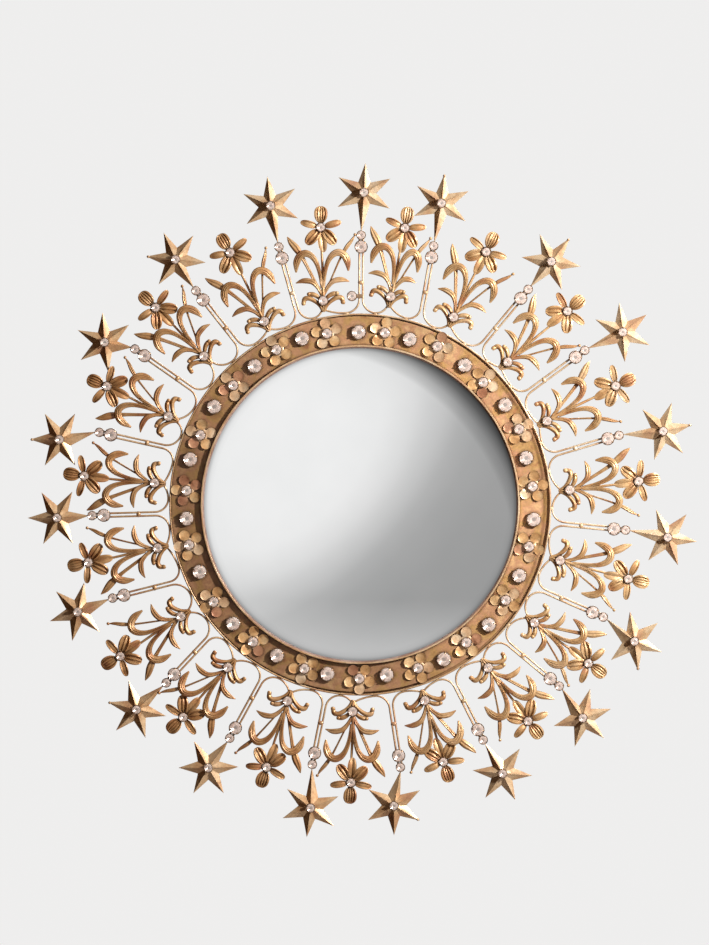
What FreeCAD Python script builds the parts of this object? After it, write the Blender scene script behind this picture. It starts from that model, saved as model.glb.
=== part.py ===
import FreeCAD, Part
import math
import os

import Sketcher
from FreeCAD import Placement, Rotation, Vector

# Round gilt metal mirror: a domed glass in a bezel, a flat band with rosettes and stones, a wire rim,
# and round it wire stems with stars and, between them, lily sprigs. A wooden disc lies against the
# wall, with the hanging ring in a pocket of its rear face.
#
# Every piece is drawn face on: x to the right, y up and z out of the wall towards the viewer, with the
# wall at z = 0 and the centre of the glass at x = y = 0. FACE_ON then stands it up. A bearing is an
# angle in degrees, clockwise from the top, and a reach is a distance from the centre of the glass.

SIZES = (
    ("BoardRadius", 134, "wooden disc against the wall"),
    ("BoardThick", 10, "wooden disc, front to back"),
    ("PocketWidth", 34, "pocket for the hanging ring"),
    ("PocketHeight", 41, "pocket for the hanging ring"),
    ("PocketDepth", 7, "pocket for the hanging ring"),
    ("HingeRise", 95, "hinge of the ring above the centre"),
    ("HingeDepth", 3.2, "hinge of the ring in front of the wall"),
    ("RingWire", 2.5, "diameter of the hanging ring's wire"),
    ("RingWidth", 26, "hanging ring, between the middles of its sides"),
    ("RingBend", 3, "bend at each end of the ring's bar"),
    ("StrapWidth", 18, "hanger strap"),
    ("StrapLength", 17, "hanger strap, from the hinge upwards"),
    ("StrapThick", 1, "hanger strap"),
    ("BarrelWidth", 14, "rolled eye of the strap"),
    ("BarrelWall", 0.85, "rolled eye of the strap"),
    ("BarrelClear", 0.3, "between the ring's bar and its eye"),
    ("ScrewShank", 2.5, "diameter of a screw's shank"),
    ("ScrewLength", 3.6, "screw, under its head"),
    ("ScrewHead", 4.8, "diameter of a screw's head"),
    ("HeadThick", 1.2, "screw head"),
    ("StrapScrewRise", 10, "strap screws above the hinge"),
    ("StrapScrewStep", 9, "between the two strap screws"),
    ("PlateScrewReach", 130, "circle of the plate screws"),
    ("PlateThick", 0.8, "metal disc behind the glass"),
    ("PackThick", 1.3, "card ring under the glass"),
    ("PackWidth", 8, "card ring under the glass"),
    ("WindowRadius", 117, "visible glass"),
    ("GlassOverlap", 1.3, "glass under the lip of the bezel"),
    ("GlassThick", 3, "glass"),
    ("GlassRise", 8, "dome of the glass"),
    ("FitClear", 0.3, "between the glass and the bezel"),
    ("BezelWall", 1, "wall of the bezel"),
    ("LipThick", 1, "lip of the bezel"),
    ("LipRound", 0.35, "rounded edge of the lip"),
    ("BandRadius", 140.6, "outer edge of the band"),
    ("BandAside", 0.95, "middle of the band's outer edge, left of the centre"),
    ("BandAbove", 0.3, "middle of the band's outer edge, above the centre"),
    ("BandHeight", 2.3, "band above the metal disc"),
    ("BandSheet", 0.8, "sheet of the band"),
    ("RimRadius", 142.6, "rim wire, to its middle"),
    ("WireThick", 1.5, "diameter of the rim and stem wires"),
    ("StemSpread", 2.7, "between the two wires of a stem"),
    ("FlareReach", 153.8, "where the stem wires begin to spread"),
    ("StemTail", 2, "stem wires past the small stone"),
    ("KnotReach", 165, "solder knots"),
    ("KnotLength", 3, "solder knot along the stem"),
    ("KnotThick", 4.8, "diameter of a solder knot"),
    ("BandStone", 10, "single stones on the band"),
    ("RosetteStone", 7, "stones in the rosettes"),
    ("StemStone", 8.8, "lower stone of a stem"),
    ("SmallStone", 6, "upper stone of a stem, and those of stars and lilies"),
    ("FootStone", 6.5, "stone at the foot of a sprig"),
    ("StoneStep", 8.8, "between the two stones of a stem"),
    ("StoneClear", 0.1, "round a stone in its cup"),
    ("CupWall", 0.5, "wall of a stone's cup"),
    ("BandReach", 130.5, "mean reach of what stands on the band"),
    ("StemStoneReach", 192.4, "mean reach of the lower stem stones"),
    ("StarReach", 230.2, "mean reach of the stars"),
    ("StarRay", 22.6, "ray of a star"),
    ("StarValley", 9.2, "notch between two rays"),
    ("StarRise", 5, "hollow of a star"),
    ("StarSheet", 0.9, "sheet of a star"),
    ("StarSeat", 0.7, "filed off the top of a star for its stone"),
    ("FootReach", 156.4, "mean reach of the sprigs' foot stones"),
    ("LilyReach", 209.4, "mean reach of the lilies' stones"),
    ("SprigSpan", 53, "nominal sprig, foot stone to lily stone"),
    ("BossRadius", 4, "round seat of a foot stone"),
    ("BossThick", 1.2, "round seat of a foot stone, and the foot below it"),
    ("FootDrop", 8.5, "foot of a sprig below its stone"),
    ("FootWidth", 5, "foot of a sprig, at its stone"),
    ("WireLap", 1.5, "stem wires under the foot of a sprig"),
    ("WireGap", 2.4, "between the two wires under a foot"),
    ("StalkThick", 2.6, "diameter of the stalk at its foot"),
    ("LilyRadius", 19.5, "arched sheet from which a lily is cut"),
    ("LilySheet", 0.9, "sheet of a lily"),
    ("LilyArch", 2.6, "arch of the petals"),
    ("RosetteRadius", 11.8, "rosette"),
    ("PetalRadius", 3.9, "petal of a rosette"),
    ("RosetteSheet", 0.7, "sheet of a rosette"),
    ("RosetteRise", 1.8, "tips of the rosette's petals above its middle"),
    ("TabWidth", 3, "tab of the odd stone"),
    ("TabThick", 0.9, "tab of the odd stone"),
)

PLATE_SCREWS = 6
STAR_RAYS = 6
ROSETTE_PETALS = 5
STONE_SIDES = 8
CLAWS = 4

# A stone and its cup, bottom to top, as shares of the stone's diameter.
CUP_FLOOR_SHARE = 0.06
PAVILION_SHARE = 0.20
GIRDLE_SHARE = 0.06
CROWN_SHARE = 0.16
CULET_SHARE = 0.16
TABLE_SHARE = 0.56
CLAW_SHARE = 0.14

# One line for each star, clockwise from the top: the bearing of the star, its reach as a share of
# StarReach, how far it is turned on its stem in degrees, the bearing of its stem's lower stone, that
# stone's reach as a share of StemStoneReach, and the bearing of the stem's foot.
RAY_SHARES = (
    (0.7, 1.015, 1, 0.2, 1.004, 0.2),
    (15.1, 1.015, -10, 16.1, 1.002, 17.6),
    (38.2, 1.006, 0, 37.9, 1.018, 37.4),
    (56.7, 1.022, -2, 55.6, 1.016, 56.1),
    (76.4, 1.014, 0, 75.1, 0.998, 75.5),
    (96.1, 1.006, 3, 95.5, 0.993, 95.5),
    (116.5, 0.997, -5, 114.9, 0.998, 115.2),
    (133.8, 1.003, 0, 132.5, 1.004, 133.2),
    (152.1, 0.990, 3, 152.4, 0.989, 152.2),
    (173.6, 0.986, 7, 171.3, 0.990, 171.3),
    (189.3, 1.000, -1, 190.4, 0.984, 190.2),
    (210.0, 0.989, 0, 209.2, 0.997, 209.3),
    (227.5, 0.987, -4, 227.6, 0.981, 228.6),
    (249.2, 0.983, 3, 249.0, 0.986, 247.4),
    (267.5, 0.987, 1, 267.6, 1.000, 267.4),
    (282.2, 1.001, -12, 285.6, 1.009, 286.4),
    (302.4, 0.985, -8, 304.6, 1.021, 304.5),
    (323.0, 0.998, 13, 322.5, 1.005, 322.7),
    (343.3, 1.015, 11, 342.4, 1.007, 341.9),
)

# One line for each sprig, clockwise from the one right of the top star: bearing and reach of its foot
# stone, then of its lily stone, as shares of FootReach and LilyReach, and how wide its leaves are
# spread to the left and to the right, as shares of the drawn leaves.
SPRIG_SHARES = (
    (8.4, 1.007, 9.2, 1.003, 1.0, 0.8),
    (26.5, 1.004, 26.5, 1.011, 1.0, 1.0),
    (46.0, 0.984, 47.0, 1.015, 1.0, 1.0),
    (65.9, 0.982, 65.1, 1.009, 1.0, 1.0),
    (86.0, 1.007, 85.2, 1.001, 1.0, 1.0),
    (105.6, 0.995, 105.5, 0.996, 1.0, 1.0),
    (124.1, 1.009, 124.8, 0.995, 1.0, 0.88),
    (141.9, 0.994, 142.2, 0.981, 1.0, 1.0),
    (161.7, 0.989, 162.1, 0.968, 1.0, 1.0),
    (182.1, 0.992, 181.9, 0.996, 1.0, 1.0),
    (200.3, 1.004, 199.6, 0.998, 1.0, 1.0),
    (219.1, 1.006, 219.8, 0.990, 1.0, 1.0),
    (238.0, 1.013, 237.7, 1.016, 1.0, 1.0),
    (257.9, 0.993, 258.0, 0.995, 1.0, 1.0),
    (276.0, 0.991, 275.9, 0.993, 1.0, 1.0),
    (294.7, 1.011, 295.0, 1.001, 1.0, 1.0),
    (313.5, 1.033, 313.9, 1.017, 1.0, 1.0),
    (332.4, 0.991, 332.7, 1.015, 1.0, 1.0),
    (349.7, 0.993, 351.9, 1.002, 1.0, 1.0),
)

# Rosettes and single stones on the band: bearing, reach as a share of BandReach.
ROSETTE_SHARES = (
    (8.2, 0.996), (26.0, 1.01), (45.2, 0.996), (64.6, 1.01), (84.0, 0.996), (104.0, 1.0), (123.3, 1.0),
    (142.4, 1.0), (160.5, 0.996), (180.3, 1.0), (198.8, 0.996), (218.0, 1.0), (236.4, 1.01),
    (256.7, 1.01), (274.6, 1.0), (293.5, 1.0), (313.2, 1.0), (331.6, 1.01), (349.0, 1.0),
)
BAND_STONE_SHARES = (
    (359.5, 0.99), (16.7, 0.99), (36.9, 1.0), (55.5, 1.01), (74.3, 0.99), (94.9, 1.0), (114.1, 1.0),
    (133.1, 1.01), (151.6, 1.01), (171.2, 0.99), (191.0, 0.99), (208.9, 0.99), (226.9, 1.0),
    (247.3, 1.0), (265.4, 1.0), (284.9, 1.01), (303.8, 1.01), (322.7, 1.0), (340.7, 1.01),
)
ODD_STONE_SHARES = (357.7, 1.0)

# The leaves of one side of a sprig. Each line is a place along a leaf's middle: how far sideways, how
# far out from the foot stone and how high, then the leaf's width and its ridge, as shares of SprigSpan.
LEAF_SHARES = (
    (
        (0.015, -0.14, 0.0, 0.036, 0.018),
        (0.055, -0.06, 0.006, 0.050, 0.022),
        (0.12, 0.0, 0.012, 0.060, 0.026),
        (0.20, 0.04, 0.018, 0.068, 0.028),
        (0.26, 0.03, 0.012, 0.072, 0.028),
        (0.28, -0.03, 0.006, 0.056, 0.018),
    ),
    (
        (0.02, 0.01, 0.004, 0.044, 0.020),
        (0.09, 0.07, 0.012, 0.062, 0.026),
        (0.15, 0.095, 0.014, 0.068, 0.028),
        (0.20, 0.10, 0.008, 0.056, 0.020),
    ),
    (
        (0.01, 0.08, 0.006, 0.040, 0.020),
        (0.07, 0.19, 0.016, 0.056, 0.024),
        (0.15, 0.27, 0.030, 0.074, 0.028),
        (0.27, 0.29, 0.026, 0.074, 0.024),
        (0.38, 0.26, 0.012, 0.012, 0.006),
    ),
    (
        (0.01, 0.06, 0.004, 0.044, 0.020),
        (0.14, 0.34, 0.006, 0.046, 0.020),
        (0.26, 0.59, 0.010, 0.056, 0.020),
        (0.35, 0.74, 0.018, 0.104, 0.026),
        (0.43, 0.84, 0.014, 0.080, 0.022),
        (0.48, 0.92, 0.006, 0.012, 0.006),
    ),
    (
        (0.01, 0.18, 0.010, 0.044, 0.022),
        (0.035, 0.38, 0.030, 0.054, 0.026),
        (0.08, 0.54, 0.050, 0.068, 0.030),
        (0.15, 0.64, 0.060, 0.088, 0.032),
        (0.235, 0.675, 0.060, 0.102, 0.034),
        (0.315, 0.635, 0.050, 0.104, 0.032),
        (0.36, 0.54, 0.032, 0.096, 0.026),
        (0.37, 0.41, 0.012, 0.024, 0.010),
    ),
)

# The tall leaf of the right side is narrower than that of the left: its width as a share.
TALL_LEAF = 3
RIGHT_TALL_SHARE = 0.55

# The petals of a lily: bearing from the stalk's direction, length and width as shares of LilyRadius.
LILY_PETAL_SHARES = (
    (0, 0.82, 0.52),
    (78, 0.81, 0.28),
    (137, 0.85, 0.44),
    (180, 0.96, 0.35),
    (223, 0.85, 0.44),
    (282, 0.81, 0.28),
)
LILY_CENTRE_SHARE = 0.205

# How far the edge of an arched sheet comes down from its crest, and how far the crest of a rosette
# stands up, as shares of the arch of a lily and the rise of a rosette; the foot's end, of its width.
LILY_DROP_SHARE = 0.8
ROSETTE_CREST_SHARE = 0.7
ROSETTE_EDGE_SHARE = 0.3
FOOT_END_SHARE = 0.5

FACE_ON = Placement(Vector(), Rotation(Vector(1, 0, 0), 90))

doc = FreeCAD.newDocument("Mirror")
sheet = doc.addObject("Spreadsheet::Sheet", "Sizes")
nodes = []


class Length:
    """A length worked out from the sheet: its expression for the document, and its number."""

    def __init__(self, text, value):
        self.text = text
        self.value = value

    def _with(self, other, sign, value):
        text = other.text if isinstance(other, Length) else str(other)
        return Length(f"({self.text}) {sign} ({text})", value)

    def __add__(self, other):
        return self._with(other, "+", self.value + float(other))

    def __sub__(self, other):
        return self._with(other, "-", self.value - float(other))

    def __mul__(self, other):
        return self._with(other, "*", self.value * float(other))

    def __truediv__(self, other):
        return self._with(other, "/", self.value / float(other))

    def __float__(self):
        return float(self.value)


def fill_sheet():
    """Writes the driving sizes into the sheet and returns them by name."""
    lengths = {}
    for row, (alias, size, meaning) in enumerate(SIZES, start=1):
        sheet.set(f"A{row}", alias)
        sheet.set(f"B{row}", str(size))
        sheet.set(f"C{row}", meaning)
        sheet.setAlias(f"B{row}", alias)
    doc.recompute()
    for alias, _, _ in SIZES:
        lengths[alias] = Length(f"Sizes.{alias}", float(sheet.get(alias)))
    return lengths


size = fill_sheet()

plate_top = size["BoardThick"] + size["PlateThick"]
wire_middle = plate_top + size["WireThick"] / 2
deck = plate_top + size["WireThick"]
band_front = plate_top + size["BandHeight"]
glass_rear = plate_top + size["PackThick"]
glass_edge = glass_rear + size["GlassThick"]
glass_radius = size["WindowRadius"] + size["GlassOverlap"]
lip_rear = glass_edge + size["FitClear"]
lip_front = lip_rear + size["LipThick"]
bezel_inside = glass_radius + size["FitClear"]
bezel_outside = bezel_inside + size["BezelWall"]
rim_touch = size["RimRadius"] + size["WireThick"]
pocket_floor = size["PocketDepth"]
strap_rear = pocket_floor - size["StrapThick"]


def mm(alias):
    """The number of a named size."""
    return size[alias].value


def bind(thing, **properties):
    """Binds properties of a document object to lengths."""
    for name, length in properties.items():
        thing.setExpression(name, length.text)


def node(label, thing):
    """Keeps a document object as the sub-part of this name."""
    thing.Label = label
    nodes.append(thing)


def shape_node(label, shapes):
    """A sub-part whose shape, or whose group of separate shapes, is worked out here."""
    thing = doc.addObject("Part::Feature", label)
    thing.Shape = shapes if isinstance(shapes, Part.Shape) else Part.makeCompound(shapes)
    thing.Placement = FACE_ON * thing.Shape.Placement
    node(label, thing)


def new_body(label):
    body = doc.addObject("PartDesign::Body", label)
    node(label, body)
    return body


def plane_of(body, role):
    return next(plane for plane in body.Origin.OriginFeatures if plane.Role == role)


def new_sketch(body, name, role, height=None):
    """A sketch on one of the body's own planes, raised by a length where one is given."""
    sketch = body.newObject("Sketcher::SketchObject", name)
    sketch.AttachmentSupport = (plane_of(body, role), [""])
    sketch.MapMode = "FlatFace"
    if height is not None:
        sketch.setExpression(".AttachmentOffset.Base.z", height.text)
    return sketch


def constrain(sketch, kind, *place, length):
    """A dimension of a sketch that follows a length."""
    index = sketch.addConstraint(Sketcher.Constraint(kind, *place, length.value))
    sketch.setExpression(f"Constraints[{index}]", length.text)


def add_outline(sketch, corners):
    """A closed outline of straight sides, each corner held at its two lengths."""
    points = [Vector(float(across), float(up), 0) for across, up in corners]
    for start, end in zip(points, points[1:] + points[:1]):
        sketch.addGeometry(Part.LineSegment(start, end), False)
    for side, (across, up) in enumerate(corners):
        before = side - 1 if side else len(corners) - 1
        sketch.addConstraint(Sketcher.Constraint("Coincident", before, 2, side, 1))
        constrain(sketch, "DistanceX", -1, 1, side, 1, length=across)
        constrain(sketch, "DistanceY", -1, 1, side, 1, length=up)


def add_circle(sketch, across, up, diameter):
    """A circle with its centre at two lengths from the origin; None holds it on that axis."""
    centre = Vector(float(across) if across else 0, float(up) if up else 0, 0)
    circle = sketch.addGeometry(Part.Circle(centre, Vector(0, 0, 1), diameter.value / 2), False)
    constrain(sketch, "Diameter", circle, length=diameter)
    if across is None and up is None:
        sketch.addConstraint(Sketcher.Constraint("Coincident", circle, 3, -1, 1))
        return
    for axis, kind, place in ((-2, "DistanceX", across), (-1, "DistanceY", up)):
        if place is None:
            sketch.addConstraint(Sketcher.Constraint("PointOnObject", circle, 3, axis))
        else:
            constrain(sketch, kind, -1, 1, circle, 3, length=place)


def pad(body, sketch, length):
    feature = body.newObject("PartDesign::Pad", sketch.Name + "_pad")
    feature.Profile = sketch
    bind(feature, Length=length)
    return feature


def pocket(body, sketch, length, forward):
    """Cuts a sketch out of the body: forward is away from the wall."""
    feature = body.newObject("PartDesign::Pocket", sketch.Name + "_pocket")
    feature.Profile = sketch
    feature.Reversed = forward
    bind(feature, Length=length)
    return feature


def round_the_axis(body, feature, count):
    """Repeats a feature evenly round the mirror's axis."""
    pattern = body.newObject("PartDesign::PolarPattern", feature.Name + "_ring")
    pattern.Originals = [feature]
    pattern.Axis = (plane_of(body, "Z_Axis"), [""])
    pattern.Angle = 360
    pattern.Occurrences = count
    body.Tip = pattern


def turned_body(label, corners):
    """A body turned about the mirror's axis; each corner is its distance from the axis and height."""
    body = new_body(label)
    sketch = new_sketch(body, label + "_profile", "XZ_Plane")
    add_outline(sketch, corners)
    feature = body.newObject("PartDesign::Revolution", label + "_turned")
    feature.Profile = sketch
    feature.ReferenceAxis = (sketch, ["V_Axis"])
    feature.Angle = 360
    body.Placement = FACE_ON
    return body, feature


def make_back_board():
    body = new_body("back_board")
    disc = new_sketch(body, "board_disc", "XY_Plane")
    add_circle(disc, None, None, size["BoardRadius"] * 2)
    pad(body, disc, size["BoardThick"])

    half = size["PocketWidth"] / 2
    bottom = size["HingeRise"] - size["PocketHeight"] / 2
    top = size["HingeRise"] + size["PocketHeight"] / 2
    opening = new_sketch(body, "board_pocket", "XY_Plane")
    add_outline(opening, ((half * -1, bottom), (half, bottom), (half, top), (half * -1, top)))
    pocket(body, opening, size["PocketDepth"], True)

    strap_holes = new_sketch(body, "strap_holes", "XY_Plane")
    for side in (-1, 1):
        across = size["StrapScrewStep"] / 2 * side
        add_circle(strap_holes, across, size["HingeRise"] + size["StrapScrewRise"], size["ScrewShank"])
    pocket(body, strap_holes, strap_rear + size["ScrewLength"], True)

    plate_holes = new_sketch(body, "plate_holes", "XY_Plane", size["BoardThick"])
    add_circle(plate_holes, size["PlateScrewReach"], None, size["ScrewShank"])
    hole = pocket(body, plate_holes, size["ScrewLength"] - size["PlateThick"], False)
    round_the_axis(body, hole, PLATE_SCREWS)
    body.Placement = FACE_ON


def make_back_plate():
    body = new_body("back_plate")
    disc = new_sketch(body, "plate_disc", "XY_Plane", size["BoardThick"])
    add_circle(disc, None, None, size["RimRadius"] * 2)
    pad(body, disc, size["PlateThick"])
    holes = new_sketch(body, "screw_holes", "XY_Plane", plate_top)
    add_circle(holes, size["PlateScrewReach"], None, size["ScrewShank"])
    hole = pocket(body, holes, size["PlateThick"], False)
    round_the_axis(body, hole, PLATE_SCREWS)
    body.Placement = FACE_ON


def make_glass_packing():
    inside = glass_radius - size["PackWidth"]
    turned_body("glass_packing", (
        (inside, plate_top),
        (glass_radius, plate_top),
        (glass_radius, glass_rear),
        (inside, glass_rear),
    ))


def make_mirror_glass():
    """A domed glass of even thickness: a disc cut by two spheres about one centre."""
    rise = size["GlassRise"]
    front_radius = (glass_radius * glass_radius + rise * rise) / (rise * 2)
    centre = glass_edge + rise - front_radius

    blank = doc.addObject("Part::Cylinder", "glass_blank")
    bind(blank, Radius=glass_radius, Height=size["GlassThick"] + rise)
    blank.setExpression(".Placement.Base.z", glass_rear.text)
    front = doc.addObject("Part::Sphere", "glass_front")
    bind(front, Radius=front_radius)
    front.setExpression(".Placement.Base.z", centre.text)
    rear = doc.addObject("Part::Sphere", "glass_rear")
    bind(rear, Radius=front_radius - size["GlassThick"])
    rear.setExpression(".Placement.Base.z", centre.text)

    domed = doc.addObject("Part::Common", "glass_domed")
    domed.Base = blank
    domed.Tool = front
    glass = doc.addObject("Part::Cut", "mirror_glass")
    glass.Base = domed
    glass.Tool = rear
    glass.Placement = FACE_ON
    node("mirror_glass", glass)


def make_bezel():
    body, turned = turned_body("bezel", (
        (bezel_inside, plate_top),
        (bezel_outside, plate_top),
        (bezel_outside, lip_front),
        (size["WindowRadius"], lip_front),
        (size["WindowRadius"], lip_rear),
        (bezel_inside, lip_rear),
    ))
    doc.recompute()
    front_edges = []
    for index, edge in enumerate(turned.Shape.Edges, start=1):
        if abs(edge.BoundBox.ZMin - lip_front.value) < Part.Precision.confusion():
            front_edges.append(f"Edge{index}")
    rounded = body.newObject("PartDesign::Fillet", "bezel_rounded")
    rounded.Base = (turned, front_edges)
    bind(rounded, Radius=size["LipRound"])


def make_band_plate():
    """A flat band with turned-down sides; its outer edge is a little off the centre of the glass."""
    body = new_body("band_plate")
    aside = size["BandAside"] * -1
    above = size["BandAbove"]
    wall = size["BandSheet"]
    band = new_sketch(body, "band_face", "XY_Plane", plate_top)
    add_circle(band, aside, above, size["BandRadius"] * 2)
    add_circle(band, None, None, bezel_outside * 2)
    pad(body, band, size["BandHeight"])
    hollow = new_sketch(body, "band_hollow", "XY_Plane", plate_top)
    add_circle(hollow, aside, above, (size["BandRadius"] - wall) * 2)
    add_circle(hollow, None, None, (bezel_outside + wall) * 2)
    pocket(body, hollow, size["BandHeight"] - wall, True)
    body.Placement = FACE_ON


def make_rim_wire():
    rim = doc.addObject("Part::Torus", "rim_wire")
    bind(rim, Radius1=size["RimRadius"], Radius2=size["WireThick"] / 2)
    rim.setExpression(".Placement.Base.y", (wire_middle * -1).text)
    rim.Placement.Rotation = FACE_ON.Rotation
    node("rim_wire", rim)


def make_hanger_plate():
    """A strap screwed to the pocket's floor, its lower end rolled into an eye for the ring."""
    body = new_body("hanger_plate")
    half = size["StrapWidth"] / 2
    rise = size["HingeRise"]
    strap = new_sketch(body, "strap", "XY_Plane", strap_rear)
    top = rise + size["StrapLength"]
    add_outline(strap, ((half * -1, rise), (half, rise), (half, top), (half * -1, top)))
    pad(body, strap, size["StrapThick"])

    bore = size["RingWire"] + size["BarrelClear"] * 2
    barrel = bore + size["BarrelWall"] * 2
    eye = new_sketch(body, "eye", "YZ_Plane")
    add_circle(eye, rise, size["HingeDepth"], barrel)
    rolled = pad(body, eye, size["BarrelWidth"])
    rolled.Midplane = True

    web = new_sketch(body, "web", "YZ_Plane")
    front = rise + barrel / 2
    add_outline(web, ((rise, size["HingeDepth"]), (front, size["HingeDepth"]), (front, pocket_floor),
                      (rise, pocket_floor)))
    joined = pad(body, web, size["BarrelWidth"])
    joined.Midplane = True

    hole = new_sketch(body, "eye_bore", "YZ_Plane")
    add_circle(hole, rise, size["HingeDepth"], bore)
    bored = pocket(body, hole, size["BarrelWidth"] * 2, False)
    bored.Midplane = True

    screws = new_sketch(body, "strap_screw_holes", "XY_Plane", strap_rear)
    for side in (-1, 1):
        add_circle(screws, size["StrapScrewStep"] / 2 * side, rise + size["StrapScrewRise"],
                   size["ScrewShank"])
    pocket(body, screws, size["StrapThick"], True)
    body.Placement = FACE_ON


def make_hanging_ring():
    """A wire ring with a straight bar in the hanger's eye, hanging down."""
    half = mm("RingWidth") / 2
    bend = mm("RingBend")
    bar = half - bend
    middle = Vector(0, mm("HingeRise"), mm("HingeDepth"))
    slant = bend * math.sqrt(0.5)
    corner = Vector(bar + slant, slant - bend, 0)
    other_corner = Vector(-corner.x, corner.y, 0)
    edges = (
        Part.LineSegment(middle + Vector(-bar, 0, 0), middle + Vector(bar, 0, 0)),
        Part.Arc(middle + Vector(bar, 0, 0), middle + corner, middle + Vector(half, -bend, 0)),
        Part.Arc(middle + Vector(half, -bend, 0), middle + Vector(0, -bend - half, 0),
                 middle + Vector(-half, -bend, 0)),
        Part.Arc(middle + Vector(-half, -bend, 0), middle + other_corner,
                 middle + Vector(-bar, 0, 0)),
    )
    path = doc.addObject("Part::Feature", "ring_path")
    path.Shape = Part.Wire([edge.toShape() for edge in edges])
    section = doc.addObject("Part::Circle", "ring_section")
    bind(section, Radius=size["RingWire"] / 2)
    section.Placement = Placement(middle + Vector(-bar, 0, 0), Rotation(Vector(0, 1, 0), 90))
    ring = doc.addObject("Part::Sweep", "hanging_ring")
    ring.Sections = [section]
    ring.Spine = (path, [f"Edge{index + 1}" for index in range(len(edges))])
    ring.Solid = True
    ring.Placement = FACE_ON
    node("hanging_ring", ring)


def compass(bearing):
    """The direction of a bearing, clockwise from the top."""
    angle = math.radians(bearing)
    return Vector(math.sin(angle), math.cos(angle), 0)


def spot(bearing, reach, height=0):
    """A point at a bearing and reach from the centre of the glass."""
    return compass(bearing) * reach + Vector(0, 0, height)


def bearing_of(direction):
    return math.degrees(math.atan2(direction.x, direction.y))


def moved(shape, place, bearing=0):
    """A copy of a shape, turned clockwise by a bearing and set down at a place."""
    copy = shape.copy()
    copy.Placement = Placement(place, Rotation(Vector(0, 0, 1), -bearing))
    return copy


def polygon(sides, radius, height):
    corners = [spot((side + 0.5) * 360 / sides, radius, height) for side in range(sides)]
    return Part.makePolygon(corners + corners[:1])


def cup_radius(diameter):
    """Outer radius of the cup that holds a stone of this diameter."""
    return diameter / 2 + mm("StoneClear") + mm("CupWall")


def stone_shape(diameter):
    """A cut stone: its cone below, a narrow girdle, and a crown with a flat table."""
    culet = diameter * CUP_FLOOR_SHARE
    girdle = culet + diameter * PAVILION_SHARE
    crown = girdle + diameter * GIRDLE_SHARE
    table = crown + diameter * CROWN_SHARE
    rings = [
        polygon(STONE_SIDES, diameter * CULET_SHARE, culet),
        polygon(STONE_SIDES, diameter / 2, girdle),
        polygon(STONE_SIDES, diameter / 2, crown),
        polygon(STONE_SIDES, diameter * TABLE_SHARE / 2, table),
    ]
    return Part.makeLoft(rings, True, True)


def cup_shape(diameter):
    """The cup round a stone, with its claws, standing on its flat floor."""
    clear = mm("StoneClear")
    outside = cup_radius(diameter)
    floor = diameter * CUP_FLOOR_SHARE
    girdle = floor + diameter * PAVILION_SHARE
    claw_top = girdle + diameter * (GIRDLE_SHARE + CROWN_SHARE / 2)
    claw_width = diameter * CLAW_SHARE
    hollow = Part.makeCone(diameter * CULET_SHARE + clear, diameter / 2 + clear, girdle - floor,
                           Vector(0, 0, floor))
    cup = Part.makeCylinder(outside, girdle).cut(hollow)
    claws = []
    for claw in range(CLAWS):
        block = Part.makeBox(claw_width, outside, claw_top, Vector(-claw_width / 2, 0, 0))
        claws.append(moved(block, Vector(), (claw + 0.5) * 360 / CLAWS))
    bore = Part.makeCylinder(diameter / 2 + clear, claw_top)
    sleeve = Part.makeCylinder(outside, claw_top).cut(bore)
    return cup.fuse([sleeve.common(claw) for claw in claws])


def shapes_at(shape, places):
    """Copies of one shape, each at a place with a bearing."""
    return [moved(shape, place, bearing) for place, bearing in places]


def screw_shape():
    """A round-headed screw; its head's seat is at the origin and its shank points down."""
    head = Part.makeCylinder(mm("ScrewHead") / 2, mm("HeadThick"))
    rounded = head.makeFillet(mm("HeadThick") / 2, [head.Edges[0]])
    shank = Part.makeCylinder(mm("ScrewShank") / 2, mm("ScrewLength"), Vector(), Vector(0, 0, -1))
    return rounded.fuse(shank)


def make_wood_screws():
    screw = screw_shape()
    screws = []
    for index in range(PLATE_SCREWS):
        place = spot(90 + index * 360 / PLATE_SCREWS, mm("PlateScrewReach"), plate_top.value)
        screws.append(moved(screw, place))
    for side in (-1, 1):
        place = Vector(side * mm("StrapScrewStep") / 2, mm("HingeRise") + mm("StrapScrewRise"),
                       strap_rear.value)
        turned = screw.copy()
        turned.Placement = Placement(place, Rotation(Vector(0, 1, 0), 180))
        screws.append(turned)
    shape_node("wood_screws", screws)


class Ray:
    """Where the stem of one star runs, with its two stones and its star."""

    def __init__(self, star_bearing, star_share, spin, stone_bearing, stone_share, foot_bearing):
        self.star = spot(star_bearing, mm("StarReach") * star_share, deck.value)
        self.star_turn = star_bearing + spin
        self.foot = spot(foot_bearing, mm("FlareReach"), wire_middle.value)
        large = spot(stone_bearing, mm("StemStoneReach") * stone_share, wire_middle.value)
        self.along = (large - self.foot).normalize()
        self.bearing = bearing_of(self.along)
        self.right = Vector(self.along.y, -self.along.x, 0)
        lift = Vector(0, 0, deck.value - wire_middle.value)
        self.large_stone = large + lift
        self.small_stone = large + self.along * mm("StoneStep") + lift
        self.top = large + self.along * (mm("StoneStep") + mm("StemTail"))


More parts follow.
